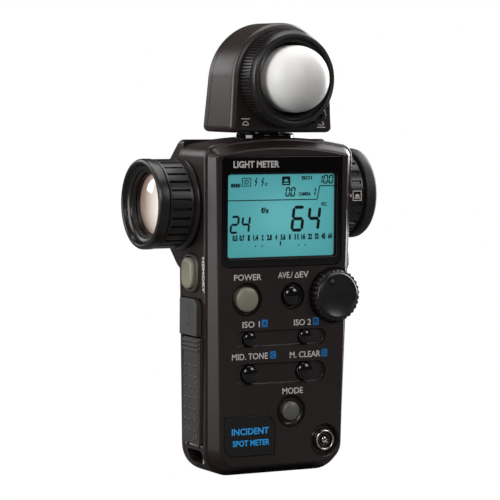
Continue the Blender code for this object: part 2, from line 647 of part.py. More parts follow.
def side_key(name, y, z, side, half, layers, colour):
    """An oval key on a side; each layer is (distance out from the side along X, scale of the oval)."""
    half_y, half_z = half
    rings = [[(side + x, a, b) for a, b in pill_outline_z(y, z, half_y * k, half_z * k)] for x, k in layers]
    finish(name, loft(rings), colour, 0.5, origin=(side, y, z))


def memory_button():
    y, z = MEMORY_Y, MEMORY_Z
    side = -case_half(z)
    bezel = slab(pill_outline_z(y - 0.4, z, *BEZEL_HALF), side - 1.1, side + 2.0, "X")
    ring = finish("memory_button_bezel", bezel, GREY, 0.4)
    boolean(ring, cutter("cut_bezel", slab(pill_outline_z(y, z, *BEZEL_HOLE), -36, -26, "X")))
    side_key("memory_button", y, z, side, MEMORY_HALF, MEMORY_LAYERS, BEIGE)
    switch = box(side + 4.0, side + 7.4, y - 2.5, y + 2.5, z - 3.0, z + 3.0)
    finish("memory_switch", switch, STEEL, 0.4, 1.0)


def usb_port():
    """The rubber cap that closes the data socket; it bends open on its rear edge."""
    y0, y1, z0, z1 = CAP
    outer, inner = CAP_OUTER, CAP_OUTER + CAP_THICK
    rings = [
        [(x, a, b) for a, b in rounded_outline(y0 + i, y1 - i, z0 + i, z1 - i, (0.5, 0.5, 0.5, 2.6))]
        for x, i in ((outer, 0.5), (outer + 0.5, 0.0), (inner, 0.0))
    ]
    finish("usb_cap", loft(rings), GREY, 0.6, origin=(outer + 0.6, y1, (z0 + z1) / 2))
    shell = slab(rounded_outline(*SOCKET_SHELL, 0.6, 2), SOCKET_FRONT + 0.4, SOCKET_BACK, "X")
    socket = finish("usb_socket", shell, STEEL, 0.3, 1.0)
    flange = slab(rounded_outline(*SOCKET_FLANGE, 0.8, 2), SOCKET_FRONT, SOCKET_FRONT + 0.8, "X")
    boolean(socket, cutter("join_usb_flange", flange), "UNION")
    mouth = slab(rounded_outline(*SOCKET_MOUTH, 0.4, 2), SOCKET_FRONT - 1.0, SOCKET_BACK - 1.5, "X")
    boolean(socket, cutter("cut_usb_mouth", mouth))


def battery_door():
    """The ribbed and dotted door, with its knuckles round the pin."""
    y0, y1, z0, z1 = DOOR
    outer, inner = DOOR_OUTER, DOOR_OUTER + DOOR_THICK
    panel = slab(rounded_outline(y0, y1, z0, z1, 0.5, 2), outer, inner, "X")
    door = finish("battery_door", panel, GREY, 0.55, origin=(HINGE_X, 0, HINGE_Z))
    for i, (a, b) in enumerate(KNUCKLES):
        barrel = [(HINGE_PIN + 0.2, a), (KNUCKLE, a), (KNUCKLE, b), (HINGE_PIN + 0.2, b)]
        knuckle = cutter(f"join_knuckle_{i + 1}", turned(barrel, "Y", (HINGE_X, 0, HINGE_Z), 12))
        boolean(door, knuckle, "UNION")
    section = [(outer + 0.4, -0.6), (outer - RIDGE_TALL, -0.3), (outer - RIDGE_TALL, 0.3), (outer + 0.4, 0.6)]
    for i in range(DOOR_RIDGES):
        z = z1 - 1.1 - RIDGE_PITCH * i
        ridge = loft([[(x, y, z + h) for x, h in section] for y in (y0 + 0.4, y1 - 0.4)])
        boolean(door, cutter(f"join_ridge_{i + 1}", ridge), "UNION")
    profile = [(0, outer - 0.5), (0.5, outer - 0.35), (0.8, outer + 0.4), (0, outer + 0.4)]
    for row in range(DOT_ROWS):
        for column in range(DOT_COLUMNS):
            centre = (0, DOT_FIRST[0] + DOT_PITCH[0] * column, DOT_FIRST[1] + DOT_PITCH[1] * row)
            dot = cutter(f"join_dot_{row + 1}_{column + 1}", turned(profile, "X", centre, 8))
            boolean(door, dot, "UNION")
    pin = slab(disc_outline(HINGE_X, HINGE_Z, HINGE_PIN, 12), -5.3, 9.0)
    finish("battery_door_pin", pin, STEEL, 0.3, 1.0)


def battery_cell():
    """The cell, standing on its lower contact, and the contact above it."""
    x, y, r = CELL_X, CELL_Y, CELL_RADIUS
    shoulder = CELL_HIGH - 0.9
    cell = [(0, CELL_LOW), (r, CELL_LOW), (r, CELL_HIGH - 1.6), (r - 1.2, shoulder), (3.0, shoulder)]
    cell += [(3.0, CELL_HIGH), (0, CELL_HIGH)]
    finish("battery_cell", turned(cell, "Z", (x, y, 0), SMALL_SIDES), YELLOW, 0.35)
    finish("battery_contact_lower", box(x - 6, x + 6, y - 5, y + 5, 12.5, 13.2), STEEL, 0.3, 1.0)
    upper = box(x - 5, x + 5, y - 4, y + 4, CELL_HIGH + 0.4, CELL_HIGH + 1.0)
    finish("battery_contact_upper", upper, STEEL, 0.3, 1.0)


def strap_bar():
    x, y = STRAP_BAR
    bar = slab(disc_outline(x, y, 0.9, 12), EYELET[2] - 0.9, EYELET[3] + 0.9, "Z")
    finish("strap_bar", bar, STEEL, 0.3, 1.0)


# Right side


def measuring_button():
    y, z = MEASURE_Y, MEASURE_Z
    side = case_half(z)
    side_key("measuring_button", y, z, side, MEASURE_HALF, MEASURE_LAYERS, SOFT_BLACK)
    switch = box(side - 7.6, side - 4.2, y - 2.5, y + 2.5, z - 3.0, z + 3.0)
    finish("measuring_switch", switch, STEEL, 0.4, 1.0)


# Spot finder


def lobed_tube(y, z, radius, lobes, ends, bore):
    """A lobed ring round the finder's axis, and the cutter for its bore."""
    outline = lobed_outline(y, z, radius, radius - LOBE_DEPTH, lobes, LOBE_SHARE)
    start, end = ends
    return slab(outline, start, end, "X"), slab(disc_outline(y, z, bore, BORE_SIDES), start - 6, end + 6, "X")


def objective():
    y, z = OBJECTIVE_Y, OBJECTIVE_Z
    centre = (0, y, z)
    finish("objective_barrel", turned(BARREL_PROFILE, "X", centre), BLACK, 0.4)
    sleeve, bore = lobed_tube(y, z, SLEEVE_RADIUS, SLEEVE_LOBES, SLEEVE_ENDS, SLEEVE_BORE)
    grip = finish("objective_grip_sleeve", sleeve, SOFT_BLACK, 0.5)
    boolean(grip, cutter("cut_sleeve", bore))
    finish("objective_front_ring", turned(FRONT_RING_PROFILE, "X", centre), SOFT_BLACK, 0.35)
    finish("objective_lens", turned(OBJECTIVE_LENS_PROFILE, "X", centre), GLASS, 0.05)


def finder_optics():
    y, z = OBJECTIVE_Y, OBJECTIVE_Z
    prism = [(-11.0, y - 8.0), (11.0, y - 8.0), (11.0, y + 3.0), (5.5, y + 8.0), (-11.0, y + 8.0)]
    finish("finder_prism", slab(prism, z - 6.5, z + 9.5, "Z"), GLASS, 0.05)
    finish("spot_sensor", box(*SPOT_SENSOR), STEEL, 0.4)


def eyepiece():
    y, z = EYEPIECE_Y, EYEPIECE_Z
    centre = (0, y, z)
    finish("eyepiece_tube", turned(TUBE_PROFILE, "X", centre), BLACK, 0.4)
    dial, bore = lobed_tube(y, z, DIAL_RADIUS, DIAL_LOBES, DIAL_ENDS, DIAL_BORE)
    ring = finish("selector_dial", dial, SOFT_BLACK, 0.45, origin=(DIAL_ENDS[0], y, z))
    boolean(ring, cutter("cut_dial", bore))
    cup = turned(EYECUP_PROFILE, "X", centre)
    finish("eyecup", cup, SOFT_BLACK, 0.6, origin=(EYECUP_START, y, z))
    finish("eyepiece_lens", turned(EYE_LENS_PROFILE, "X", centre, SMALL_SIDES), GLASS, 0.05)


# Head


def head_outline(inset):
    """A tombstone: a flat foot, sides that lean in, and a round top. Points (x, z) anticlockwise."""
    corner = max(2.4 - 0.5 * inset, 0.8)
    radius = HEAD_RADIUS - inset
    centre = HEAD_TOP - HEAD_RADIUS
    low = HEAD_LOW + inset
    half = HEAD_FOOT_HALF - inset
    points = []
    for i in range(4):
        t = math.radians(-90 + 28.3 * i)
        points.append((half - corner + corner * math.cos(t), low + corner + corner * math.sin(t)))
    for i in range(21):
        t = math.radians(-5 + 9.5 * i)
        points.append((radius * math.cos(t), centre + radius * math.sin(t)))
    for i in range(4):
        t = math.radians(185.1 + 28.3 * i)
        points.append((-half + corner + corner * math.cos(t), low + corner + corner * math.sin(t)))
    return points


def seam_y(z):
    return HEAD_SEAM - HEAD_SEAM_LEAN * (z - HEAD_LOW)


def head_back_y(z):
    return HEAD_BACK - HEAD_BACK_LEAN * (z - HEAD_LOW)


def head_ring(y, inset):
    return [(x, y(z) if callable(y) else y, z) for x, z in head_outline(inset)]


def head_housing(stem_hole):
    """The front of the head, with the boss that the ring turns on."""
    rings = [
        head_ring(HEAD_FRONT, 2.2),
        head_ring(HEAD_FRONT + 0.8, 0.9),
        head_ring(HEAD_FRONT + 2.4, 0.15),
        head_ring(HEAD_FRONT + 4.0, 0.0),
        head_ring(lambda z: seam_y(z) - GAP / 2, 0.0),
    ]
    housing = finish("head_front_housing", loft(rings), BLACK, 0.42, origin=(0, SWIVEL_Y, HEAD_LOW))
    boss = slab(disc_outline(0, DOME_Z, BOSS_RADIUS, BORE_SIDES), RING_BACK + GAP, HEAD_FRONT + 1.0)
    boolean(housing, cutter("join_head_boss", boss), "UNION")
    cavity = [
        head_ring(HEAD_FRONT + 2.0, 3.0),
        head_ring(HEAD_FRONT + 4.0, 2.1),
        head_ring(lambda z: seam_y(z) + 1.0, 2.1),
    ]
    boolean(housing, cutter("cut_head_cavity", loft(cavity)))
    hole = slab(disc_outline(0, DOME_Z, DOME_RADIUS + 0.9, BORE_SIDES), -16, -8)
    boolean(housing, cutter("cut_dome_hole", hole))
    boolean(housing, stem_hole)


def head_cover(stem_hole):
    rings = [
        head_ring(lambda z: seam_y(z) + GAP / 2, 0.0),
        head_ring(lambda z: head_back_y(z) - 1.6, 0.1),
        head_ring(lambda z: head_back_y(z) - 0.5, 1.0),
        head_ring(head_back_y, 2.4),
    ]
    cover = finish("head_back_cover", loft(rings), BLACK, 0.42, origin=(0, SWIVEL_Y, HEAD_LOW))
    cavity = [head_ring(lambda z: seam_y(z) - 1.0, 2.1), head_ring(lambda z: head_back_y(z) - 2.0, 2.6)]
    boolean(cover, cutter("cut_cover_cavity", loft(cavity)))
    boolean(cover, stem_hole)


def head():
    hole = slab(disc_outline(0, SWIVEL_Y, STEM_RADIUS + 0.4, SMALL_SIDES), 127, 133, "Z")
    stem_hole = cutter("cut_head_stem", hole)
    head_housing(stem_hole)
    head_cover(stem_hole)


def swivel():
    centre = (0, SWIVEL_Y, 0)
    r = STEM_RADIUS
    collar = [(r + 0.5, 126.5), (COLLAR_RADIUS, 126.5), (COLLAR_RADIUS, 128.2)]
    collar += [(COLLAR_RADIUS - 0.4, 128.6), (r + 0.5, 128.6)]
    finish("swivel_collar", turned(collar, "Z", centre), SOFT_BLACK, 0.15, 0.6)
    stem = [(3.8, 118.0), (r, 118.0), (r, 131.5), (r + 1.7, 131.5), (r + 1.7, 132.9), (3.8, 132.9)]
    stem = turned(stem, "Z", centre, SMALL_SIDES)
    finish("swivel_stem", stem, STEEL, 0.3, 1.0, origin=(0, SWIVEL_Y, HEAD_LOW))
    retainer = [(r + 0.4, 119.4), (9.0, 119.4), (9.0, 120.8), (r + 0.4, 120.8)]
    finish("swivel_retainer", turned(retainer, "Z", centre, SMALL_SIDES), STEEL, 0.35, 1.0)


def dome_parts():
    centre = (0, 0, DOME_Z)
    axis_point = (0, DOME_BASE, DOME_Z)
    outer, inner = DOME_RADIUS, DOME_RADIUS - 1.2
    turns = [math.radians(15 * i) for i in range(7)]
    arc = [(outer * math.sin(t), DOME_BASE - outer * math.cos(t)) for t in turns]
    hollow = [(inner * math.sin(t), DOME_BASE - inner * math.cos(t)) for t in reversed(turns)]
    shell = arc + [(outer, -15.0), (inner, -15.0)] + hollow
    finish("diffuser_dome", turned(shell, "Y", centre), WHITE, 0.45, origin=axis_point)
    carrier = turned(CARRIER_PROFILE, "Y", centre, SMALL_SIDES)
    finish("dome_carrier", carrier, GREY, 0.5, origin=axis_point)
    finish("head_sensor", turned(SENSOR_PROFILE, "Y", centre, SMALL_SIDES), STEEL, 0.3, 0.5)
    finish("head_sensor_board", box(*SENSOR_BOARD), GREEN, 0.5)


def retract_ring():
    """The knurled ring that draws the dome in, with a finger tab at its lower right."""
    z = DOME_Z
    lobes = lobed_outline(0, z, RING_RADIUS, RING_RADIUS - 0.5, RING_LOBES, 0.5)
    body = slab(lobes, RING_FRONT + 1.6, RING_BACK)
    ring = finish("retract_ring", body, SOFT_BLACK, 0.45, origin=(0, RING_BACK, z))
    front = slab(disc_outline(0, z, RING_RADIUS - 0.3, BORE_SIDES), RING_FRONT, RING_FRONT + 2.2)
    boolean(ring, cutter("join_ring_front", front), "UNION")
    tab = slab(rounded_outline(*TAB, (0.5, 2.4, 2.4, 0.5)), *TAB_FACES)
    dimple = slab(disc_outline(DIMPLE_OUT, 0, DIMPLE_RADIUS, 12), -19, DIMPLE_FLOOR)
    turn = Matrix.Translation((0, 0, z)) @ Matrix.Rotation(TAB_TURN, 4, "Y")
    for bm in (tab, dimple):
        bm.transform(turn)
    boolean(ring, cutter("join_ring_tab", tab), "UNION")
    bore = [(0, -23), (16.0, -23), (15.6, -20.9), (13.5, -18.6), (13.5, -10), (0, -10)]
    boolean(ring, cutter("cut_ring_bore", turned(bore, "Y", (0, 0, z))))
    boolean(ring, cutter("cut_tab_dimple", dimple))


def main():
    clear_scene()
    shared = shared_cutters()
    front_case(shared)
    rear_case(shared)
    case_screws()
    tripod_bush()
    display()
    boards()
    keys()
    jog_wheel()
    sync_terminal()
    name_plate()
    memory_button()
    usb_port()
    battery_door()
    battery_cell()
    strap_bar()
    measuring_button()
    objective()
    finder_optics()
    eyepiece()
    head()
    swivel()
    dome_parts()
    retract_ring()


main()
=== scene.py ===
# %% [markdown]
# A handheld light meter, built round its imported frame. The frame holds every solid where it belongs and
# knows how each one moves. This lesson gives each visible piece its real surface: softened edges, knurls,
# keys in dished wells, a lit display and a milky dome. It starts by loading the frame.

# %% Load the frame
import json
import math

import bmesh
import bpy
from mathutils import Matrix, Vector


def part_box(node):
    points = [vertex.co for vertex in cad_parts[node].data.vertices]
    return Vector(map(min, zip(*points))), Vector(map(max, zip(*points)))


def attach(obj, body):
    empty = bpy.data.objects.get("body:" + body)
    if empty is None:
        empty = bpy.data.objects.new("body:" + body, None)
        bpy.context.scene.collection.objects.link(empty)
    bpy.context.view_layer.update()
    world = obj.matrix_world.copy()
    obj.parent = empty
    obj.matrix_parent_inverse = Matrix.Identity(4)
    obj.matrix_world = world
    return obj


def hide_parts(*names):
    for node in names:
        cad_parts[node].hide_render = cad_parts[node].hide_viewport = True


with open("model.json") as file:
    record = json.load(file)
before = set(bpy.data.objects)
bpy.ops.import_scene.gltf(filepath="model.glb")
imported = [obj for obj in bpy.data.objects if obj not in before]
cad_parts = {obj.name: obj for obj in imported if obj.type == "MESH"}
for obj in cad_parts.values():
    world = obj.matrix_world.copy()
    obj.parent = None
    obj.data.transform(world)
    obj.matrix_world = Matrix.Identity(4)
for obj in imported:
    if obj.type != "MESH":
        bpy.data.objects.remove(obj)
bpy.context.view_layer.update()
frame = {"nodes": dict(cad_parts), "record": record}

MM = 0.001


# %% [markdown]
# Every piece below is drawn in millimetres and shrunk to metres at the end, because a light meter's sizes
# are easier to read that way. Two small helpers read a solid's place from the frame in the same unit, so no
# position is typed twice.

# %% Read places from the frame
def corners(node):
    low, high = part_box(node)
    return low / MM, high / MM


def middle(node):
    low, high = corners(node)
    return (low + high) / 2


body_of = {node: body for body, nodes in frame["record"]["behaviour"]["bodies"].items() for node in nodes}
case_low, case_high = corners("front_case")
FACE_Y = case_low.y
PARTING_Y = case_high.y
print("front face at y", round(FACE_Y, 1), "mm, parting line at y", round(PARTING_Y, 1), "mm")


# %% [markdown]
# The camera stands a little to the left of the meter and slightly above it, almost a metre away, with a
# long lens, so that the body's upright edges stay nearly parallel. It is tilted by half a degree, as a
# camera held by hand is. The aim point is a named place, and the distance is measured back from it.

# %% Camera
CAMERA_AZIMUTH, CAMERA_ELEVATION, CAMERA_TILT = -28.694, 3.969, 0.462
CAMERA_DISTANCE, LENS, SENSOR = 0.92218, 175.4, 36.0
aim = Vector((-0.00712, 0.0, 0.08439))
azimuth, elevation = math.radians(CAMERA_AZIMUTH), math.radians(CAMERA_ELEVATION)
forward = Vector((
    -math.sin(azimuth) * math.cos(elevation),
    math.cos(azimuth) * math.cos(elevation),
    -math.sin(elevation),
))
level_right = forward.cross(Vector((0, 0, 1))).normalized()
right = Matrix.Rotation(-math.radians(CAMERA_TILT), 3, forward) @ level_right
camera = bpy.data.objects.new("camera", bpy.data.cameras.new("camera"))
camera.data.lens, camera.data.sensor_width, camera.data.clip_start = LENS, SENSOR, 0.01
camera.matrix_world = Matrix((right, right.cross(forward), -forward)).transposed().to_4x4()
camera.location = aim - forward * CAMERA_DISTANCE
bpy.context.scene.collection.objects.link(camera)
bpy.context.scene.camera = camera
print("camera at", [round(v, 3) for v in camera.location])


# %% [markdown]
# Dark glossy plastic shows the lamps more than its own colour. Tall soft boxes on both sides draw the
# pale streaks along the rounded edges, a lamp above lights the top surfaces, and the air between them
# stays dim, so the flat front keeps its deep brown-black. The room is white only where the camera looks
# straight at it.

# %% Floor, room and lamps
def feed(node, values):
    """Sets a node's inputs, each to a plain value or to another node's output."""
    for label, value in values.items():
        if isinstance(value, bpy.types.NodeSocket):
            node.id_data.links.new(value, node.inputs[label])
        else:
            node.inputs[label].default_value = value


def soft_box(name, place, size, power, look=(0.0, 0.0, 0.09), colour=(1.0, 1.0, 1.0)):
    lamp = bpy.data.lights.new(name, "AREA")
    lamp.shape, lamp.size, lamp.size_y, lamp.energy, lamp.color = "RECTANGLE", size[0], size[1], power, colour
    obj = bpy.data.objects.new(name, lamp)
    obj.location = place
    obj.rotation_euler = (Vector(look) - Vector(place)).to_track_quat("-Z", "Y").to_euler()
    bpy.context.scene.collection.objects.link(obj)
    return obj


FLOOR_SIZE, WHITE_ROOM, DIM_ROOM = 30.0, 1.0, 0.06
bpy.ops.mesh.primitive_plane_add(size=FLOOR_SIZE, location=(0, 0, 0))
floor = bpy.context.object
floor.name = "floor"
floor_paint = bpy.data.materials.new("floor_paint")
floor_paint.use_nodes = True
nodes, links = floor_paint.node_tree.nodes, floor_paint.node_tree.links
shader = nodes["Principled BSDF"]
feed(shader, {"Base Color": (0.10, 0.10, 0.10, 1.0), "Roughness": 0.9})
bright = nodes.new("ShaderNodeEmission")
sight = nodes.new("ShaderNodeLightPath")
blend = nodes.new("ShaderNodeMixShader")
links.new(sight.outputs["Is Camera Ray"], blend.inputs["Fac"])
links.new(shader.outputs["BSDF"], blend.inputs[1])
links.new(bright.outputs["Emission"], blend.inputs[2])
links.new(blend.outputs["Shader"], nodes["Material Output"].inputs["Surface"])
floor.data.materials.append(floor_paint)

world = bpy.data.worlds.new("studio")
world.use_nodes = True
bpy.context.scene.world = world
nodes, links = world.node_tree.nodes, world.node_tree.links
sight = nodes.new("ShaderNodeLightPath")
span = nodes.new("ShaderNodeMapRange")
feed(span, {"To Min": DIM_ROOM, "To Max": WHITE_ROOM, "Value": sight.outputs["Is Camera Ray"]})
links.new(span.outputs["Result"], nodes["Background"].inputs["Strength"])
nodes["Background"].inputs["Color"].default_value = (1.0, 1.0, 1.0, 1.0)

soft_box("left_box", (-0.95, 0.10, 0.35), (0.55, 0.9), 9.0)
soft_box("right_box", (0.85, 0.35, 0.40), (0.45, 0.9), 13.0)
soft_box("edge_box", (-0.52, 0.85, 0.40), (0.35, 0.4), 1.5)
soft_box("fill_box", (0.90, -1.00, 0.75), (0.5, 0.5), 4.0)
soft_box("top_box", (0.20, 0.10, 1.05), (1.1, 0.8), 8.0)
soft_box("front_box", (-0.55, -1.25, 0.75), (0.5, 0.5), 6.0)
bpy.context.scene.view_settings.view_transform = "Standard"
print("studio: six soft boxes and a pale floor")


# %% [markdown]
# Moulded plastic is never one flat colour. The tool leaves a fine grain of tiny pits, and handling
# polishes some areas more than others. Both are noises of very different size, so they live in one node
# group that any plastic here can use with its own values. The group gives out a colour, a roughness and a
# height only; the shader itself stays in each material.

# %% Node group: moulded skin
def fresh(name):
    """A new material, with its node tree and its shader."""
    material = bpy.data.materials.new(name)
    material.use_nodes = True
    return material, material.node_tree, material.node_tree.nodes["Principled BSDF"]


def own_coordinates(tree):
    return tree.nodes.new("ShaderNodeTexCoord").outputs["Object"]


def new_group(name, inputs, outputs):
    tree = bpy.data.node_groups.new(name, "ShaderNodeTree")
    for label, kind, value in inputs:
        socket = tree.interface.new_socket(name=label, in_out="INPUT", socket_type=kind)
        socket.default_value = value
    for label, kind in outputs:
        tree.interface.new_socket(name=label, in_out="OUTPUT", socket_type=kind)
    return tree, tree.nodes.new("NodeGroupInput"), tree.nodes.new("NodeGroupOutput")


def noise_at(tree, coordinates, scale, detail=2.0, rough=0.5):
    noise = tree.nodes.new("ShaderNodeTexNoise")
    feed(noise, {"Scale": scale, "Detail": detail, "Roughness": rough, "Vector": coordinates})
    return noise.outputs["Fac"]


def ranged(tree, value, low, high, start=0.0, end=1.0):
    node = tree.nodes.new("ShaderNodeMapRange")
    feed(node, {"From Min": start, "From Max": end, "Value": value, "To Min": low, "To Max": high})
    return node.outputs["Result"]


def mixed(tree, factor, one, two, blend="MIX"):
    node = tree.nodes.new("ShaderNodeMix")
    node.data_type, node.blend_type = "RGBA", blend
    feed(node, {0: factor, 6: one, 7: two})
    return node.outputs[2]


skin, given, taken = new_group(
    "moulded_skin",
    [("Colour", "NodeSocketColor", (0.5, 0.5, 0.5, 1.0)),
     ("Handled", "NodeSocketColor", (0.6, 0.6, 0.6, 1.0)),
     ("Roughness", "NodeSocketFloat", 0.4), ("Grain Scale", "NodeSocketFloat", 3000.0)],
    [("Colour", "NodeSocketColor"), ("Roughness", "NodeSocketFloat"), ("Height", "NodeSocketFloat")],
)
place = skin.nodes.new("ShaderNodeTexCoord")
grain = skin.nodes.new("ShaderNodeTexNoise")
feed(grain, {"Detail": 1.5, "Vector": place.outputs["Object"], "Scale": given.outputs["Grain Scale"]})
patches = noise_at(skin, place.outputs["Object"], 38.0, 4.0, 0.6)
patch_mask = ranged(skin, patches, 0.0, 1.0, 0.42, 0.68)
edges = skin.nodes.new("ShaderNodeNewGeometry")
edge_mask = ranged(skin, edges.outputs["Pointiness"], 0.0, 0.6, 0.505, 0.56)
toned = mixed(skin, patch_mask, given.outputs["Colour"], given.outputs["Handled"])
worn = mixed(skin, edge_mask, toned, given.outputs["Handled"])
skin.links.new(worn, taken.inputs["Colour"])
spread = skin.nodes.new("ShaderNodeMath")
spread.operation = "MULTIPLY"
skin.links.new(given.outputs["Roughness"], spread.inputs[0])
skin.links.new(ranged(skin, patches, 0.86, 1.16, 0.3, 0.7), spread.inputs[1])
feed(taken, {"Roughness": spread.outputs["Value"], "Height": grain.outputs["Fac"]})
print("group moulded_skin has", len(skin.nodes), "nodes")


# %% [markdown]
# One function makes each plastic or rubber from that group. Constant values such as the coat are set on the
# shader's own sockets. The bump is only a few hundredths of a millimetre deep, which is what real grain is.

# %% Plastics and rubbers
def moulded(name, colour, handled, roughness, grain_scale=3000.0, depth=0.00002, coat=0.0, specular=0.5):
    material, tree, shader = fresh(name)
    group = tree.nodes.new("ShaderNodeGroup")
    group.node_tree = skin
    feed(group, {"Colour": (*colour, 1.0), "Handled": (*handled, 1.0), "Roughness": roughness,
                 "Grain Scale": grain_scale})
    bump = tree.nodes.new("ShaderNodeBump")
    feed(bump, {"Distance": depth, "Strength": 0.6, "Height": group.outputs["Height"]})
    feed(shader, {"Base Color": group.outputs["Colour"], "Roughness": group.outputs["Roughness"],
                  "Normal": bump.outputs["Normal"], "Coat Weight": coat, "Coat Roughness": 0.06,
                  "Specular IOR Level": specular})
    return material


case_skin = moulded("case_skin", (0.0165, 0.0098, 0.0090), (0.022, 0.0145, 0.0138), 0.33, 3400.0, 0.00002)
satin_black = moulded("satin_black", (0.0085, 0.0070, 0.0066), (0.015, 0.0125, 0.012), 0.28, 2600.0,
                      0.000012)
gloss_black = moulded("gloss_black", (0.0035, 0.0026, 0.0026), (0.005, 0.004, 0.004), 0.07, 900.0,
                      0.000002, 0.3)
rubber_black = moulded("rubber_black", (0.012, 0.0105, 0.010), (0.02, 0.018, 0.017), 0.55, 2200.0,
                       0.00003)
beige_key = moulded("beige_key", (0.245, 0.235, 0.170), (0.30, 0.29, 0.22), 0.36, 1800.0, 0.00001)
grey_key = moulded("grey_key", (0.125, 0.125, 0.108), (0.16, 0.16, 0.14), 0.36, 1800.0, 0.00001)
door_grey = moulded("door_grey", (0.036, 0.034, 0.032), (0.052, 0.050, 0.047), 0.46, 2600.0, 0.00003)
cap_rubber = moulded("cap_rubber", (0.046, 0.044, 0.041), (0.062, 0.060, 0.056), 0.58, 2200.0, 0.00004)
olive_bezel = moulded("olive_bezel", (0.045, 0.042, 0.032), (0.07, 0.066, 0.052), 0.34, 2400.0, 0.000012)
print("nine plastics and rubbers")


# %% [markdown]
# Metals and glass need other recipes. Nickel and steel are fully metallic, with a fine brushed streak in
# their roughness. A coated lens is glass over a dark barrel, and its coating has a warm tint. That colour
# grows paler towards the rim, which Layer Weight gives, as a painted reflection. Towards the front of the
# meter the colour fades to a pale one. This is a painted glint that stands for a lamp's reflection on glass
# further in that isn't modelled. A small emission paints a glow over the whole lens. The dome is milky, so
# light has to enter it and come out again, which is subsurface scattering.

# %% Metals, lens glass and dome
def metal(name, colour, roughness):
    material, tree, shader = fresh(name)
    coordinates = own_coordinates(tree)
    streaks = noise_at(tree, coordinates, 900.0, 3.0)
    shade = mixed(tree, streaks, tuple(0.82 * c for c in colour) + (1.0,), colour + (1.0,))
    feed(shader, {"Base Color": shade,
                  "Roughness": ranged(tree, streaks, roughness * 0.8, roughness * 1.3), "Metallic": 1.0})
    return material


def dyed(name, colour, roughness=0.35, painted_glow=0.0):
    """An ink or lacquer: one pigment whose strength varies a little, with an optional painted glow from
    emission.
    """
    material, tree, shader = fresh(name)
    coordinates = own_coordinates(tree)
    strength = ranged(tree, noise_at(tree, coordinates, 600.0, 2.0), 0.0, 1.0, 0.3, 0.7)
    shade = mixed(tree, strength, tuple(0.86 * c for c in colour) + (1.0,), colour + (1.0,))
    feed(shader, {"Base Color": shade, "Roughness": roughness})
    if painted_glow:
        feed(shader, {"Emission Color": shade, "Emission Strength": painted_glow})
    return material


nickel = metal("nickel", (0.70, 0.68, 0.63), 0.16)
steel = metal("steel", (0.48, 0.47, 0.45), 0.30)
legend_white = dyed("legend_white", (0.72, 0.69, 0.66), 0.5)
# legend_blue and plate_blue get a painted glow: an emission that makes the print shine though it is no lamp
legend_blue = dyed("legend_blue", (0.012, 0.16, 0.46), 0.4, 0.15)
plate_blue = dyed("plate_blue", (0.02, 0.30, 0.70), 0.35, 0.30)
board_green = dyed("board_green", (0.02, 0.12, 0.045), 0.45)
cell_yellow = dyed("cell_yellow", (0.6, 0.38, 0.03), 0.3)
segment_ink = dyed("segment_ink", (0.004, 0.010, 0.012), 0.3)
clear_plastic = dyed("clear_plastic", (0.8, 0.82, 0.8), 0.15)

milky, tree, shader = fresh("milky_dome")
coordinates = own_coordinates(tree)
cloud = ranged(tree, noise_at(tree, coordinates, 60.0, 3.0), 0.0, 1.0, 0.3, 0.7)
feed(shader, {"Base Color": mixed(tree, cloud, (0.80, 0.775, 0.74, 1.0), (0.84, 0.82, 0.79, 1.0)),
              "Roughness": ranged(tree, cloud, 0.38, 0.46), "Subsurface Weight": 0.5,
              "Subsurface Radius": (1.0, 0.85, 0.7), "Subsurface Scale": 0.002})

coated, tree, shader = fresh("coated_glass")
rim = tree.nodes.new("ShaderNodeLayerWeight")
rim.inputs["Blend"].default_value = 0.45
coordinates = own_coordinates(tree)
film = ranged(tree, noise_at(tree, coordinates, 25.0, 1.0), 0.0, 1.0, 0.35, 0.65)
deep = mixed(tree, film, (0.13, 0.062, 0.045, 1.0), (0.19, 0.105, 0.075, 1.0))
# painted reflection: the colour turns paler towards the rim, where Layer Weight's Facing output grows
tint_with_painted_rim_reflection = mixed(tree, rim.outputs["Facing"], deep, (0.45, 0.33, 0.27, 1.0))
across = tree.nodes.new("ShaderNodeSeparateXYZ")
tree.links.new(coordinates, across.inputs["Vector"])
# painted glint: towards the front of the meter the colour fades to pale, for a lamp's reflection on inner
# glass
painted_glint_mask = ranged(tree, across.outputs["Y"], 1.0, 0.0, 0.0025, 0.0125)
colour_with_painted_glint = mixed(tree, painted_glint_mask, tint_with_painted_rim_reflection, (0.95, 0.88, 0.80, 1.0))
# painted glow: this emission makes the lens, the eyepiece lens and the prism shine, though none of them is a
# lamp
feed(shader, {"Base Color": colour_with_painted_glint, "Emission Color": colour_with_painted_glint, "Emission Strength": 0.22,
              "Roughness": ranged(tree, film, 0.03, 0.06), "Coat Weight": 1.0, "Coat Roughness": 0.02,
              "Specular IOR Level": 0.9})
print("metals, inks, dome and coated glass")


# %% [markdown]
# The display is lit from behind. Its colour is a painted pool of light, brightest in the middle, with painted
# shade falling off towards the frame. A small emission of the same colour is a painted glow that stands for
# the lamp under it.

# %% Display film
lcd_low, lcd_high = corners("lcd_panel")
teal, tree, shader = fresh("display_teal")
coordinates = own_coordinates(tree)
centred = tree.nodes.new("ShaderNodeMapping")
centred.vector_type = "TEXTURE"
feed(centred, {"Location": (0.0, 0.0, (lcd_low.z + lcd_high.z) / 2 * MM), "Scale": (0.034, 1.0, 0.024),
               "Vector": coordinates})
# painted light: the film is brightest at its middle, with painted shade towards the frame
painted_light_pool = tree.nodes.new("ShaderNodeTexGradient")
painted_light_pool.gradient_type = "QUADRATIC_SPHERE"
tree.links.new(centred.outputs["Vector"], painted_light_pool.inputs["Vector"])
lit = ranged(tree, painted_light_pool.outputs["Fac"], 0.0, 1.0, 0.0, 0.7)
film_with_painted_light = mixed(tree, lit, (0.075, 0.36, 0.385, 1.0), (0.125, 0.47, 0.50, 1.0))
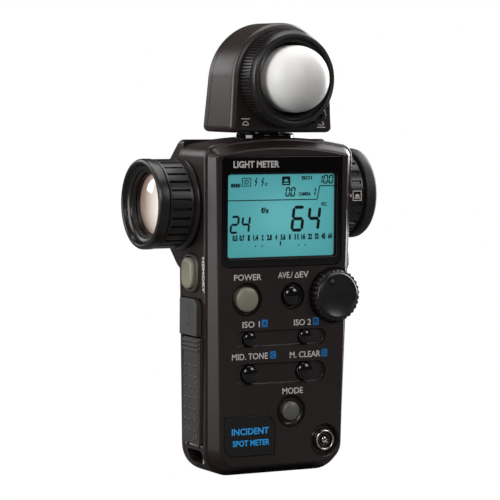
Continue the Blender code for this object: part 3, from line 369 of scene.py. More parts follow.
# painted glow: the emission carries the same painted pool of light
feed(shader, {"Base Color": film_with_painted_light, "Emission Color": film_with_painted_light, "Emission Strength": 0.42,
              "Roughness": 0.3, "Coat Weight": 0.25})
print("display film", [round(v, 1) for v in (lcd_high - lcd_low)], "mm")


# %% [markdown]
# The next helpers turn a bmesh into a finished piece. A piece is drawn in millimetres where it belongs, so
# finishing it means shrinking it to metres, pointing its faces outwards, shading its round parts smooth,
# hanging it on the body it rides on and hiding the solid it stands for. Print only rides with a solid.

# %% Finish a piece
SMOOTH_ANGLE = math.radians(32)
MERGE = 0.002
FLAT_SHARE = 80


def placed(name, bm, material, node):
    """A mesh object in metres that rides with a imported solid."""
    bmesh.ops.remove_doubles(bm, verts=bm.verts, dist=MERGE)
    bmesh.ops.recalc_face_normals(bm, faces=bm.faces)
    bm.transform(Matrix.Scale(MM, 4))
    mesh = bpy.data.meshes.new(name)
    bm.to_mesh(mesh)
    bm.free()
    mesh.materials.append(material)
    mesh.shade_smooth()
    mesh.set_sharp_from_angle(angle=SMOOTH_ANGLE)
    obj = bpy.data.objects.new(name, mesh)
    bpy.context.scene.collection.objects.link(obj)
    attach(obj, body_of[node])
    print(name, "has", len(mesh.polygons), "faces and rides on", body_of[node])
    return obj


def finish(name, bm, material, node):
    """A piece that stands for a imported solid."""
    obj = placed(name, bm, material, node)
    flat = obj.modifiers.new("even shading", "WEIGHTED_NORMAL")
    flat.keep_sharp, flat.weight = True, FLAT_SHARE
    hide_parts(node)
    return obj


# %% [markdown]
# Round things start as half of their own cross-section, spun about an axis. Flat things start as a box
# whose edges are bevelled. These few helpers cover most of the meter.

# %% Shape helpers
AXES = {"X": Vector((1, 0, 0)), "Y": Vector((0, 1, 0)), "Z": Vector((0, 0, 1))}
OUTWARD = {"X": Vector((0, 0, 1)), "Y": Vector((1, 0, 0)), "Z": Vector((1, 0, 0))}
STRAIGHT = 0.99


def turned(profile, axis, centre, sides=96):
    """A closed cross-section of (radius, distance along the axis), spun all the way round."""
    bm = bmesh.new()
    along, out, centre = AXES[axis], OUTWARD[axis], Vector(centre)
    verts = [bm.verts.new(centre + out * r + along * a) for r, a in profile]
    edges = [bm.edges.new((verts[i - 1], verts[i])) for i in range(len(verts))
             if profile[i - 1][0] > 0 or profile[i][0] > 0]
    bmesh.ops.spin(bm, geom=verts + edges, cent=centre, axis=along, angle=2 * math.pi, steps=sides,
                   use_merge=True)
    bmesh.ops.remove_doubles(bm, verts=bm.verts, dist=0.001)
    bmesh.ops.recalc_face_normals(bm, faces=bm.faces)
    return bm


def rounded(points, radius, steps=5):
    """The corners of a cross-section eased with short curves of about this radius."""
    eased = []
    for i, point in enumerate(points):
        before, after = Vector(points[i - 1]), Vector(points[(i + 1) % len(points)])
        here = Vector(point)
        if point[0] <= 0 or radius <= 0:
            eased.append(tuple(here))
            continue
        cut = min(radius, (before - here).length * 0.45, (after - here).length * 0.45)
        start = here + (before - here).normalized() * cut
        end = here + (after - here).normalized() * cut
        for k in range(steps + 1):
            t = k / steps
            eased.append(tuple(start * (1 - t) ** 2 + here * 2 * t * (1 - t) + end * t ** 2))
    return eased


def bevel(bm, edges, width, steps=3):
    return bmesh.ops.bevel(bm, geom=list(edges), offset=width, offset_type="OFFSET", segments=steps,
                           profile=0.5, affect="EDGES", clamp_overlap=True, material=-1)


def cap_curve(radius, top, height, steps):
    """A quarter of an ellipse, from the middle of a rounded cap out to its side."""
    turns = [math.radians(90 / steps * k) for k in range(steps + 1)]
    return [(radius * math.sin(t), top + height * (1 - math.cos(t))) for t in turns]


def box(low, high):
    bm = bmesh.new()
    bmesh.ops.create_cube(bm, size=1.0)
    low, high = Vector(low), Vector(high)
    bm.transform(Matrix.Translation((low + high) / 2) @ Matrix.Diagonal((*(high - low), 1.0)))
    return bm


def runs_along(edge, axis):
    return abs((edge.verts[0].co - edge.verts[1].co).normalized().dot(AXES[axis])) > 0.95


def rim_of(bm, faces):
    """The edges round a patch of faces."""
    return [e for e in bm.edges if sum(f in faces for f in e.link_faces) == 1]


def rounded_box(low, high, axis, corner, lip=0.0, steps=8, lip_steps=3):
    """A box with its four edges along an axis rounded, and its two end rims softened."""
    bm = box(low, high)
    bevel(bm, [e for e in bm.edges if runs_along(e, axis)], corner, steps)
    if lip:
        ends = [f for f in bm.faces if abs(f.normal.dot(AXES[axis])) > STRAIGHT]
        bevel(bm, rim_of(bm, ends), lip, lip_steps)
    return bm


def joined(*parts):
    """Several bmeshes in one, as separate shells."""
    whole = bmesh.new()
    for part in parts:
        scratch = bpy.data.meshes.new("scratch")
        part.to_mesh(scratch)
        part.free()
        whole.from_mesh(scratch)
        bpy.data.meshes.remove(scratch)
    return whole


def helper_object(part):
    mesh = bpy.data.meshes.new("helper")
    part.to_mesh(mesh)
    part.free()
    obj = bpy.data.objects.new("helper", mesh)
    bpy.context.scene.collection.objects.link(obj)
    return obj


def carved(bm, cutters=(), added=()):
    """The shape after solids are added to it and others are cut out of it, one at a time."""
    jobs = [("UNION", part) for part in added] + [("DIFFERENCE", part) for part in cutters]
    for operation, part in jobs:
        base, tool = helper_object(bm), helper_object(part)
        modifier = base.modifiers.new(operation, "BOOLEAN")
        modifier.operation, modifier.solver, modifier.object = operation, "EXACT", tool
        bm = bmesh.new()
        bm.from_object(base, bpy.context.evaluated_depsgraph_get())
        bpy.data.objects.remove(base)
        bpy.data.objects.remove(tool)
        bmesh.ops.remove_doubles(bm, verts=bm.verts, dist=MERGE)
    bmesh.ops.recalc_face_normals(bm, faces=bm.faces)
    ragged = sum(1 for e in bm.edges if len(e.link_faces) != 2)
    print("  carved:", len(bm.faces), "faces,", round(bm.calc_volume()), "mm3,", ragged, "ragged edges")
    return bm


def pillow(bm, direction, steps):
    """An end face drawn in and pushed out again and again: each step is (inset, how far along its normal)."""
    face = facing(bm, direction)
    for inset, push in steps:
        bmesh.ops.inset_region(bm, faces=[face], thickness=inset, use_even_offset=True)
        shift = face.normal * push
        for vert in face.verts:
            vert.co += shift
    return bm


def facing(bm, direction):
    """The largest face that looks along a direction."""
    direction = Vector(direction)
    bm.normal_update()
    return max((f for f in bm.faces if f.normal.dot(direction) > STRAIGHT), key=lambda f: f.calc_area())


def rod(radius, start, end):
    return [(0, start), (radius, start), (radius, end), (0, end)]


def tube(radius, start, end, axis, centre, sides=64):
    return turned(rod(radius, start, end), axis, centre, sides)


print("shape helpers ready")


# %% [markdown]
# The body is two moulded shells. Seen from the front it is a tall box that widens a little towards the
# top, with large rounded corners at the foot and small ones at the shoulders. All round its front runs a
# broad sloping border that ends in a ridge. A box, a bevel, one inset and a pair of small bevels give all
# of that, and the proportions are read from the solid that the shell stands for.

# %% Casing block
FOOT_CORNER, SHOULDER_CORNER = 10.5, 5.0
SIDE_FLARE = 0.02
FACE_INSET = 3.7
CROWN = 2.6


def ridge_depth(z):
    """How far behind the front face the ridge of the border lies; it is deeper near the foot."""
    return 3.0 + 0.054 * max(60.0 - z, 0.0)


def side_at(z):
    return case_high.x - SIDE_FLARE * (case_high.z - z)


def casing_block(front, back):
    """The outline of the body as a solid block between two distances along Y."""
    bm = box((-1, front, 0), (1, back, case_high.z - CROWN))
    for vert in bm.verts:
        vert.co.x *= side_at(vert.co.z)
    upright = [e for e in bm.edges if runs_along(e, "Y")]
    foot = [e for e in upright if e.verts[0].co.z < 1]
    shoulder = [e for e in upright if e.verts[0].co.z > 1]
    bevel(bm, foot, FOOT_CORNER, 10)
    bevel(bm, shoulder, SHOULDER_CORNER, 7)
    for k in range(1, 12):
        x = (k / 6 - 1) * (side_at(case_high.z) - SHOULDER_CORNER - 0.5)
        bmesh.ops.bisect_plane(bm, geom=bm.verts[:] + bm.edges[:] + bm.faces[:], plane_co=(x, 0, 0),
                               plane_no=(1, 0, 0))
    reach = side_at(case_high.z) - SHOULDER_CORNER
    for vert in bm.verts:
        if vert.co.z > case_high.z - CROWN - 0.01:
            vert.co.z += CROWN * max(0.0, 1 - (vert.co.x / reach) ** 2)
    bmesh.ops.dissolve_limit(bm, angle_limit=math.radians(0.4), verts=bm.verts, edges=bm.edges)
    return bm


def end_faces(bm, y):
    return [f for f in bm.faces if all(abs(v.co.y - y) < 0.01 for v in f.verts)]


block = casing_block(FACE_Y, PARTING_Y)
print("casing block", len(block.faces), "faces; half width at the foot", round(side_at(0), 1), "mm")
block.free()


# %% [markdown]
# The wells round the keys are dished, with a soft rolled lip, so they are turned cutters whose profile
# ends in a curve. The long recesses behind the paired keys are rounded boxes that taper as they go in.
# Cutting all of them out of the shell leaves a crisp lip; one small bevel of those edges then catches the
# light.

# %% Cutters for the face
KEYS = {name: middle(name) for name in (
    "power_button", "average_button", "mode_button",
    "iso_1_button", "iso_2_button", "mid_tone_button", "memory_clear_button")}
KEY_RADIUS = {name: (corners(name)[1].x - corners(name)[0].x) / 2 - 0.6 for name in KEYS}
WELL_RADIUS = {"power_button": 6.4, "average_button": 5.2, "mode_button": 6.2}
WELL_DEPTH = 1.9
PILLS = {"iso": ("iso_1_button", -20.7, 19.2, 3.4), "memory": ("mid_tone_button", -20.6, 19.4, 4.45)}
PILL_DEPTH = 1.3
DEEP = 7.0


def well_cutter(name):
    """A dish whose side curves over into the face, with the key's shaft hole in its floor."""
    x, _, z = KEYS[name]
    wide, bore = WELL_RADIUS[name], KEY_RADIUS[name] + 0.25
    side = [(bore + 0.5 + (wide - bore - 0.5) * math.sin(t) ** 1.2, FACE_Y + WELL_DEPTH * math.cos(t))
            for t in (math.radians(9 * k) for k in range(11))]
    lip = [(wide + 0.28, FACE_Y - 0.05), (wide + 0.9, FACE_Y - 0.6)]
    shaft = [(0, FACE_Y + DEEP), (bore, FACE_Y + DEEP), (bore, FACE_Y + WELL_DEPTH)]
    return turned(shaft + side + lip + [(0, FACE_Y - 0.6)], "Y", (x, 0, z), 72)


def shaft_cutter(name):
    x, _, z = KEYS[name]
    return tube(KEY_RADIUS[name] + 0.25, FACE_Y - 1, FACE_Y + DEEP, "Y", (x, 0, z))


def pill_cutter(name):
    """A long recess with round ends, narrower at its floor, whose floor meets its side in a curve."""
    key, left, right, radius = PILLS[name]
    z = KEYS[key].z
    bm = rounded_box((left, FACE_Y - 1, z - radius), (right, FACE_Y + PILL_DEPTH, z + radius), "Y",
                     radius - 0.01,
                     steps=20)
    floor = end_faces(bm, FACE_Y + PILL_DEPTH)
    for vert in {v for f in floor for v in f.verts}:
        centre = Vector((min(max(vert.co.x, left + radius), right - radius), vert.co.y, z))
        vert.co = centre + (vert.co - centre) * 0.86
    bevel(bm, rim_of(bm, floor), 0.75, 5)
    return bm


print("wells for", ", ".join(WELL_RADIUS))


# %% [markdown]
# Cutting a shell leaves knife edges. On the real moulding they are all slightly rounded, and those
# roundings are what glints along each opening. A Bevel modifier that only takes the sharp edges adds them
# at the end.

# %% Softened mouldings
def soften(obj, width, steps=2, angle=38):
    """A small rounding on every sharp edge, kept as a modifier ahead of the shading one."""
    edge = obj.modifiers.new("soft edges", "BEVEL")
    edge.limit_method, edge.angle_limit = "ANGLE", math.radians(angle)
    edge.width, edge.segments, edge.profile = width * MM, steps, 0.5
    edge.harden_normals = False
    if "even shading" in obj.modifiers:
        obj.modifiers.move(len(obj.modifiers) - 1, 0)
    return obj


print("edge softener ready")


# %% [markdown]
# The front shell is the block with its border sloped, hollowed, and then cut: the window, the wells, the
# jog wheel's pocket, the terminal's recess and the places along both sides. On the left a channel runs
# beside the ridge, and the battery door and the socket cap lie in it.

# %% Front shell
window_low, window_high = corners("display_window")
jog_low, jog_high = corners("jog_wheel")
JOG_X, JOG_Z, JOG_RADIUS = 22.0, 67.4, (jog_high.x - jog_low.x) / 2
sync = middle("sync_terminal_shell")
SYNC_RADIUS = corners("sync_terminal_shell")[1].x - sync.x
plate_low, plate_high = corners("name_plate")
door_low, door_high = corners("battery_door")
DOOR_FOOT = door_low.z + 1.8
cap_low, cap_high = corners("usb_cap")
memory = middle("memory_button")
measure = middle("measuring_button")
bar = middle("strap_bar")
OBJECTIVE = middle("objective_barrel")
EYEPIECE = middle("eyepiece_tube")
SWIVEL = middle("swivel_collar")
SHELL_WALL = 2.2


def sloped_front(bm):
    """The border: the front face drawn in, and the ring left round it pushed back to the ridge."""
    face = facing(bm, (0, -1, 0))
    bmesh.ops.inset_region(bm, faces=[face], thickness=FACE_INSET, use_even_offset=True)
    inner = set(face.verts)
    outer = {v for v in bm.verts if abs(v.co.y - FACE_Y) < 0.01} - inner
    for vert in outer:
        vert.co.y = FACE_Y + ridge_depth(vert.co.z)
    bevel(bm, [e for e in bm.edges if outer.issuperset(e.verts)], 1.2, 5)
    bevel(bm, facing(bm, (0, -1, 0)).edges, 0.7, 4)
    return bm


def oval(y, z, half_y, half_z, start, end, power=0.75, sides=72):
    """An upright oval with nearly straight sides, pushed along X."""
    bm = bmesh.new()
    bmesh.ops.create_circle(bm, cap_ends=True, radius=1.0, segments=sides)
    for vert in bm.verts:
        a, b = vert.co.x, vert.co.y
        vert.co = (start, y + half_y * math.copysign(abs(a) ** power, a),
                   z + half_z * math.copysign(abs(b) ** power, b))
    wall = bmesh.ops.extrude_face_region(bm, geom=bm.faces[:])
    bmesh.ops.translate(bm, verts=[v for v in wall["geom"] if isinstance(v, bmesh.types.BMVert)],
                        vec=(end - start, 0, 0))
    bmesh.ops.recalc_face_normals(bm, faces=bm.faces)
    return bm


def cornered(low, high, axis, radii, steps=8):
    """A box whose four edges along an axis each get a radius that depends on where they are."""
    bm = box(low, high)
    for edge in [e for e in bm.edges if runs_along(e, axis)]:
        radius = radii((edge.verts[0].co + edge.verts[1].co) / 2)
        bevel(bm, [edge], radius, steps)
    return bm


def side_channel():
    """The recess beside the ridge that holds the door and the cap; its upper front corner is round."""
    low, high = (-36.0, -8.6, DOOR_FOOT - 0.5), (-28.9, PARTING_Y + 1, cap_high.z + 0.5)
    bm = cornered(low, high, "X", lambda p: 3.6 if p.y < 0 and p.z > 40 else 0.6)
    for vert in bm.verts:
        if vert.co.y < 0:
            vert.co.y += ridge_depth(vert.co.z) - ridge_depth(60.0)
    return bm


OBJECTIVE_BORE, EYEPIECE_BORE, NECK_BORE = 14.0, 13.6, 6.3


def shared_cutters():
    """What both shells give way to: the two finder bores, the neck and the cap."""
    cap_room = cornered((-36, cap_low.y - 0.3, cap_low.z - 0.3),
                        (cap_high.x + 0.3, cap_high.y + 0.4, cap_high.z + 0.4),
                        "X", lambda p: 3.0 if p.y < 0 and p.z > 60 else 0.5)
    return [
        tube(OBJECTIVE_BORE, -38, -24, "X", (0, OBJECTIVE.y, OBJECTIVE.z), 96),
        tube(EYEPIECE_BORE, 24, 38, "X", (0, EYEPIECE.y, EYEPIECE.z), 96),
        tube(11.3, 126.2, 131, "Z", (0, SWIVEL.y, 0), 72),
        tube(NECK_BORE, 119, 131, "Z", (0, SWIVEL.y, 0), 48),
        cap_room,
    ]


def cavity(front, back):
    bm = box((-1, front, 12.0), (1, back, case_high.z - CROWN - 3.8))
    for vert in bm.verts:
        vert.co.x *= side_at(vert.co.z) - SHELL_WALL
    bevel(bm, [e for e in bm.edges if runs_along(e, "Y")], 3.0, 4)
    return bm


def window_room():
    low = (window_low.x - 0.25, FACE_Y - 2, window_low.z - 0.25)
    high = (window_high.x + 0.25, window_high.y + 0.2, window_high.z + 0.25)
    return cornered(low, high, "Y", lambda p: 3.2 if p.z < 90 else 1.2)


def plate_radii(point):
    if point.x < -10:
        return 4.5 if point.z < 15 else 0.8
    return 5.0 if point.z > 15 else 0.8


front = sloped_front(casing_block(FACE_Y, PARTING_Y))
socket_low, socket_high = corners("usb_socket")
eyelet_low, eyelet_high = (-36.0, -4.6, 4.4), (-18.8, 7.0, 9.6)
cutters = [
    cavity(-9.8, PARTING_Y + 1),
    window_room(),
    cornered((-22.9, FACE_Y - 2, 82.5), (22.9, -8.0, 113.5), "Y", lambda p: 1.0, 3),
    tube(JOG_RADIUS + 0.7, FACE_Y - 6, -11.0, "Y", (JOG_X, 0, JOG_Z), 96),
    tube(2.4, FACE_Y - 1, -8.0, "Y", (JOG_X, 0, JOG_Z), 32),
    tube(SYNC_RADIUS + 0.25, FACE_Y - 1, 0.4, "Y", (sync.x, 0, sync.z)),
    turned([(0, FACE_Y - 0.6), (7.0, FACE_Y - 0.6), (6.5, FACE_Y - 0.05), (6.0, FACE_Y + 0.35),
            (5.6, FACE_Y + 1.2),
            (5.4, FACE_Y + 2.4), (0, FACE_Y + 2.4)], "Y", (sync.x, 0, sync.z), 72),
    cornered((plate_low.x - 0.2, FACE_Y - 2, plate_low.z - 0.2),
             (plate_high.x + 0.2, plate_high.y + 0.2, plate_high.z + 0.2),
             "Y", plate_radii, 8),
    side_channel(),
    box((-36, door_low.y - 0.4, DOOR_FOOT - 0.4), (door_high.x + 0.9, PARTING_Y + 1, door_high.z + 0.35)),
    box((-36, door_low.y + 0.9, DOOR_FOOT + 1.4), (-25, PARTING_Y + 1, door_high.z - 1.5)),
    box((-36, socket_low.y - 0.3, socket_low.z - 0.3), (-25, PARTING_Y + 1, socket_high.z + 0.3)),
    cornered(eyelet_low, eyelet_high, "X", lambda p: 1.5, 6),
    tube(1.2, 3.2, 10.8, "Z", (bar.x, bar.y, 0), 32),
    oval(memory.y - 0.4, memory.z, 6.55, 7.45, -36, -26),
    oval(measure.y, measure.z, 5.25, 6.05, 26, 36),
]
cutters += [well_cutter(name) for name in WELL_RADIUS]
cutters += [pill_cutter(name) for name in PILLS]
cutters += [shaft_cutter(name) for name in KEYS if name not in WELL_RADIUS]
front_shell = finish("front_shell", carved(front, cutters + shared_cutters()), case_skin, "front_case")
soften(front_shell, 0.12)


# %% [markdown]
# The rear shell starts as the same block, with its back edges rolled over. The finder housing grows out
# of its upper half: a slab whose back face is pushed out and shortened, so that both flanks slant. Both
# are joined before the finder bores, the screw holes and the bush are cut.

# %% Rear shell
CASE_BACK = 14.0
HOUSING_BACK, HOUSING_LOW, HOUSING_HIGH, FLANK = 25.0, 77.0, 126.0, 10.0
SCREWS = [middle(f"case_screw_{k}") for k in range(1, 5)]
bush = middle("tripod_bush")


def finder_housing(inset, back):
    half = side_at(100) - 0.7 - inset
    bm = box((-half, PARTING_Y + 0.3 - inset, HOUSING_LOW + inset),
             (half, CASE_BACK, HOUSING_HIGH - inset))
    rear = facing(bm, (0, 1, 0))
    push = bmesh.ops.extrude_face_region(bm, geom=[rear])
    moved = [v for v in push["geom"] if isinstance(v, bmesh.types.BMVert)]
    bm.faces.remove(rear)
    for vert in moved:
        vert.co.y = back
        vert.co.z += FLANK if vert.co.z < 100 else -FLANK
    bmesh.ops.recalc_face_normals(bm, faces=bm.faces)
    return bm


rear = casing_block(PARTING_Y + 0.3, CASE_BACK)
bevel(rear, facing(rear, (0, 1, 0)).edges, 3.4, 6)
housing = finder_housing(0.0, HOUSING_BACK)
bevel(housing, [e for e in housing.edges if max(v.co.y for v in e.verts) > CASE_BACK - 1], 1.5, 4)
cutters = [cavity(PARTING_Y - 1, 11.8), finder_housing(SHELL_WALL, HOUSING_BACK - SHELL_WALL),
           tube(5.2, 9, 16, "Y", (bush.x, 0, bush.z))]
for screw in SCREWS:
    steps = [(0, 9), (1.3, 9), (1.3, 12.7), (2.35, 12.7), (2.35, 13.8), (2.7, 14.1), (2.7, 15), (0, 15)]
    cutters.append(turned(steps, "Y", (screw.x, 0, screw.z), 48))
rear_shell = finish("rear_shell", carved(rear, cutters + shared_cutters(), [housing]), case_skin,
                    "rear_case")
soften(rear_shell, 0.15)


# %% [markdown]
# Screws hold the rear shell and a threaded bush takes a tripod. A screw head is turned and then cut by a
# small cross; the bush's thread is a stack of fine turned grooves.

# %% Screws and bush
for number, screw in enumerate(SCREWS, 1):
    shank = rounded([(0, 5.0), (0.9, 5.0), (0.9, 12.9), (2.0, 12.9), (2.0, 13.5), (1.4, 13.8),
                     (0, 13.85)], 0.12, 3)
    arm = [box((screw.x - a, 13.1, screw.z - b), (screw.x + a, 14.5, screw.z + b)) for a,
           b in ((1.1, 0.24), (0.24, 1.1))]
    head = carved(turned(shank, "Y", (screw.x, 0, screw.z), 40), arm)
    finish(f"screw_{number}", head, steel, f"case_screw_{number}")

THREAD_PITCH, THREAD_DEPTH = 1.27, 0.35
thread = []
for k in range(6):
    y = 5.9 + THREAD_PITCH * k
    thread += [(3.1, y), (3.1 + THREAD_DEPTH, y + THREAD_PITCH / 2)]
bush_profile = [(3.1, 5.5), (5.0, 5.5), (5.0, 13.6), (4.7, 13.9), (3.6, 13.9), (3.1, 13.5)] + thread[::-1]
finish("threaded_bush", turned(bush_profile, "Y", (bush.x, 0, bush.z), 64), nickel, "tripod_bush")


# %% [markdown]
# The window is one glossy plate, black all over except for the opening in front of the display. Both
# outlines have slightly rounded corners and a hair of bevel.

# %% Window and display
pane = cornered(tuple(window_low), tuple(window_high), "Y", lambda p: 3.0 if p.z < 90 else 1.0)
bevel(pane, facing(pane, (0, -1, 0)).edges, 0.25, 3)
view = cornered((lcd_low.x + 0.15, window_low.y - 2, lcd_low.z + 0.1),
                (lcd_high.x - 0.15, window_high.y + 2, lcd_high.z - 0.1),
                "Y", lambda p: 1.3, 5)
window_plate = finish("window_plate", carved(pane, [view]), gloss_black, "display_window")
soften(window_plate, 0.08)

panel = cornered(tuple(lcd_low), tuple(lcd_high), "Y", lambda p: 0.8, 4)
bevel(panel, facing(panel, (0, -1, 0)).edges, 0.1, 2)
finish("display_film", panel, teal, "lcd_panel")


# %% [markdown]
# Everything that the display shows is made of flat shapes a tenth of a millimetre thick, lying on the
# film. Big numbers are seven-segment digits: each segment is a slim bar with both ends cut to a point.
# Words use the built-in font, turned into a mesh before it is placed.

# %% Segments and lettering
SEGMENTS = {
    "0": "abcdef", "1": "bc", "2": "abged", "3": "abgcd", "4": "fgbc", "5": "afgcd", "6": "afgecd",
    "7": "abc", "8": "abcdefg", "9": "abcdfg",
}
INK_Y = lcd_low.y - 0.06
INK_THICK = 0.1


def bar_shape(start, end, thick, y, depth=INK_THICK):
    """A slim bar between two points (x, z), with pointed ends."""
    a, b = Vector((start[0], y, start[1])), Vector((end[0], y, end[1]))
    length = (b - a).length
    bm = box((-length / 2, -depth / 2, -thick / 2), (length / 2, depth / 2, thick / 2))
    bevel(bm, [e for e in bm.edges if runs_along(e, "Y")], thick * 0.46, 1)
    angle = math.atan2(b.z - a.z, b.x - a.x)
    bm.transform(Matrix.Translation((a + b) / 2) @ Matrix.Rotation(-angle, 4, "Y"))
    return bm


def digit(char, x, z, width, height, thick, slant=0.12):
    """One seven-segment digit whose lower left corner is (x, z)."""
    def at(u, v):
        return (x + u * width + slant * v * height, z + v * height)
    gap = 0.02
    ends = {
        "a": (at(gap, 1), at(1 - gap, 1)), "b": (at(1, 1 - gap), at(1, 0.5 + gap)),
        "c": (at(1, 0.5 - gap), at(1, gap)),
        "d": (at(gap, 0), at(1 - gap, 0)), "e": (at(0, 0.5 - gap), at(0, gap)),
        "f": (at(0, 1 - gap), at(0, 0.5 + gap)), "g": (at(gap, 0.5), at(1 - gap, 0.5)),
    }
    return [bar_shape(*ends[name], thick, INK_Y) for name in SEGMENTS[char]]


def lettering(text, centre, height, width=None, thick=0.12, facing_side="front", bold=0.0, spacing=1.0):
    """Raised letters centred on a point. Their height is that of a capital letter."""
    curve = bpy.data.curves.new("letters", "FONT")
    curve.body, curve.size, curve.extrude, curve.offset = text, 1.0, 0.05, bold
    curve.resolution_u, curve.space_character = 3, spacing
    obj = bpy.data.objects.new("letters", curve)
    bpy.context.scene.collection.objects.link(obj)
    bpy.context.view_layer.update()
    mesh = bpy.data.meshes.new_from_object(obj.evaluated_get(bpy.context.evaluated_depsgraph_get()))
    bpy.data.objects.remove(obj)
    bm = bmesh.new()
    bm.from_mesh(mesh)
    bpy.data.meshes.remove(mesh)
    bmesh.ops.remove_doubles(bm, verts=bm.verts, dist=0.0001)
    low = Vector([min(v.co[i] for v in bm.verts) for i in range(3)])
    high = Vector([max(v.co[i] for v in bm.verts) for i in range(3)])
    scale = height / (high.y - low.y)
    stretch = width / (high.x - low.x) if width else scale
    bm.transform(Matrix.Diagonal((stretch, scale, thick / 0.1,
                                  1.0)) @ Matrix.Translation(-(low + high) / 2))
    turn = Matrix.Rotation(math.pi / 2, 4, "X")
    if facing_side == "left_down":
        turn = Matrix(((0, 0, -1, 0), (0, -1, 0, 0), (-1, 0, 0, 0), (0, 0, 0, 1)))
    bm.transform(Matrix.Translation(Vector(centre)) @ turn)
    return bm


def flat_bar(x0, x1, z0, z1, y=INK_Y, depth=INK_THICK):
    return box((x0, y - depth / 2, z0), (x1, y + depth / 2, z1))


print("segments and lettering ready")


# %% [markdown]
# The readout has three bands. The top one carries status pictures and the film speed, a stepped rule
# closes it, the middle band holds the time and the aperture as large digits, and a scale of apertures
# runs along the bottom with a pointer under it.

# %% Readout
ink = []
for text, x, z, width, height, thick in (
        ("24", -21.7, 91.9, 2.9, 5.9, 0.82), ("64", 4.5, 92.3, 4.3, 8.6, 1.2),
        ("100", 15.9, 109.9, 1.5, 2.9, 0.5),
        ("00", 1.8, 105.2, 1.45, 3.1, 0.5), ("1", 13.0, 105.2, 1.4, 3.0, 0.5)):
    pitch = width * (1.62 if width > 2 else 1.55)
    for place, char in enumerate(text):
        ink += digit(char, x + pitch * place, z, width, height, thick)
ink.append(flat_bar(3.75, 4.15, 105.0, 105.4))

APERTURES = "0.5 0.7 1 1.4 2 2.8 4 5.6 8 11 16 22 32 45 64".split()
SCALE_LEFT, SCALE_PITCH, SCALE_Z = -19.7, 2.93, 89.8
for place, value in enumerate(APERTURES):
    width = {1: 0.8, 2: 1.7, 3: 2.1}[len(value)]
    ink.append(lettering(value, (SCALE_LEFT + SCALE_PITCH * place, INK_Y, SCALE_Z), 2.2, width, 0.1,
                         bold=0.05))
ink.append(bar_shape((-0.3, 86.6), (-0.3, 88.4), 0.55, INK_Y))
ink += [flat_bar(x - 0.22, x + 0.22, 86.4, 86.85) for x in (-11.0, -8.1, 7.6, 10.5)]

RULE = ((-22.9, 103.8), (15.5, 103.8), (16.5, 108.9), (23.0, 108.9))
for start, end in zip(RULE, RULE[1:]):
    ink.append(bar_shape(start, end, 0.34, INK_Y))
for text, x, z, height, width in (("ISO1", 10.9, 112.0, 1.45, 4.4), ("CAMERA", 10.1, 105.9, 1.35, 5.2),
                                  ("FC", 18.6, 101.9, 1.4, 2.3),
                                  ("f/s", -7.1, 100.0, 2.1, 3.2)):
    ink.append(lettering(text, (x, INK_Y, z), height, width, 0.1, bold=0.035))

# a cell, a frame with a sun, two lightning marks and a picture of the dome
ink += [flat_bar(-21.5 + 0.95 * k, -20.75 + 0.95 * k, 108.7, 110.1) for k in range(4)]
ink.append(flat_bar(-17.75, -17.45, 109.1, 109.7))
for low, high, z0, z1 in ((-16.9, -13.1, 112.0, 112.25), (-16.9, -13.1, 109.0, 109.25),
                          (-16.9, -16.65, 109.2, 112.1),
                          (-13.35, -13.1, 109.2, 112.1)):
    ink.append(flat_bar(low, high, z0, z1))
SUN_X, SUN_Z = -15.0, 110.62
ink.append(turned([(0.55, -0.05), (0.85, -0.05), (0.85, 0.05), (0.55, 0.05)], "Y", (SUN_X, INK_Y, SUN_Z),
                  24))
for k in range(8):
    turn = math.pi / 4 * k
    near, far = ((SUN_X + reach * math.cos(turn), SUN_Z + reach * math.sin(turn))
                 for reach in (1.05, 1.4))
    ink.append(bar_shape(near, far, 0.22, INK_Y))
for x in (-11.0, -8.2):
    ink.append(bar_shape((x + 0.6, 112.3), (x - 0.4, 110.7), 0.4, INK_Y))
    ink.append(bar_shape((x - 0.5, 110.75), (x + 0.55, 110.75), 0.34, INK_Y))
    ink.append(bar_shape((x + 0.45, 110.8), (x - 0.35, 109.1), 0.4, INK_Y))
ink.append(lettering("c", (-6.6, INK_Y, 109.7), 1.2, 1.0, 0.1, bold=0.015))
frame_piece = cornered((0.2, INK_Y - 0.05, 109.3), (3.7, INK_Y + 0.05, 112.6), "Y", lambda p: 0.3, 2)
dome_hole = tube(0.95, -0.5, 0.5, "Y", (1.95, INK_Y, 110.7), 32)
foot_hole = flat_bar(0.75, 3.15, 109.75, 110.2, depth=1)
lower_half = flat_bar(0.8, 3.1, 109.0, 110.7, depth=2)
dome_hole = carved(dome_hole, [lower_half])
ink.append(carved(frame_piece, [dome_hole, foot_hole]))
placed("readout", joined(*ink), segment_ink, "lcd_panel")


# %% [markdown]
# The words on the casing are printed, so they are letters a few hundredths of a millimetre proud. Beside
# four of them sits a small blue square with a letter, for the key's second use.

# %% Legends on the face
PRINT_Y = FACE_Y - 0.02
words = [
    ("POWER", -15.1, 75.2, 11.6, 2.35), ("ISO 1", -13.5, 57.5, 7.4, 2.35),
    ("ISO 2", 8.6, 57.5, 7.4, 2.35),
    ("MID. TONE", -13.9, 45.5, 15.3, 2.35), ("M. CLEAR", 9.9, 45.3, 13.4, 2.35),
    ("MODE", 4.6, 31.7, 8.9, 2.35), ("AVE./", 1.0, 75.6, 6.3, 2.35), ("EV", 9.1, 75.6, 3.9, 2.35),
]
print_parts = [lettering(text, (x, PRINT_Y, z), height, width, 0.08, bold=0.012) for text, x, z, width,
               height in words]
for start, end in (((5.0, 74.55), (5.95, 76.6)), ((5.95, 76.6), (6.9, 74.55)),
                   ((4.95, 74.6), (6.95, 74.6))):
    print_parts.append(bar_shape(start, end, 0.36, PRINT_Y, 0.08))
placed("face_legends", joined(*print_parts), legend_white, "front_case")

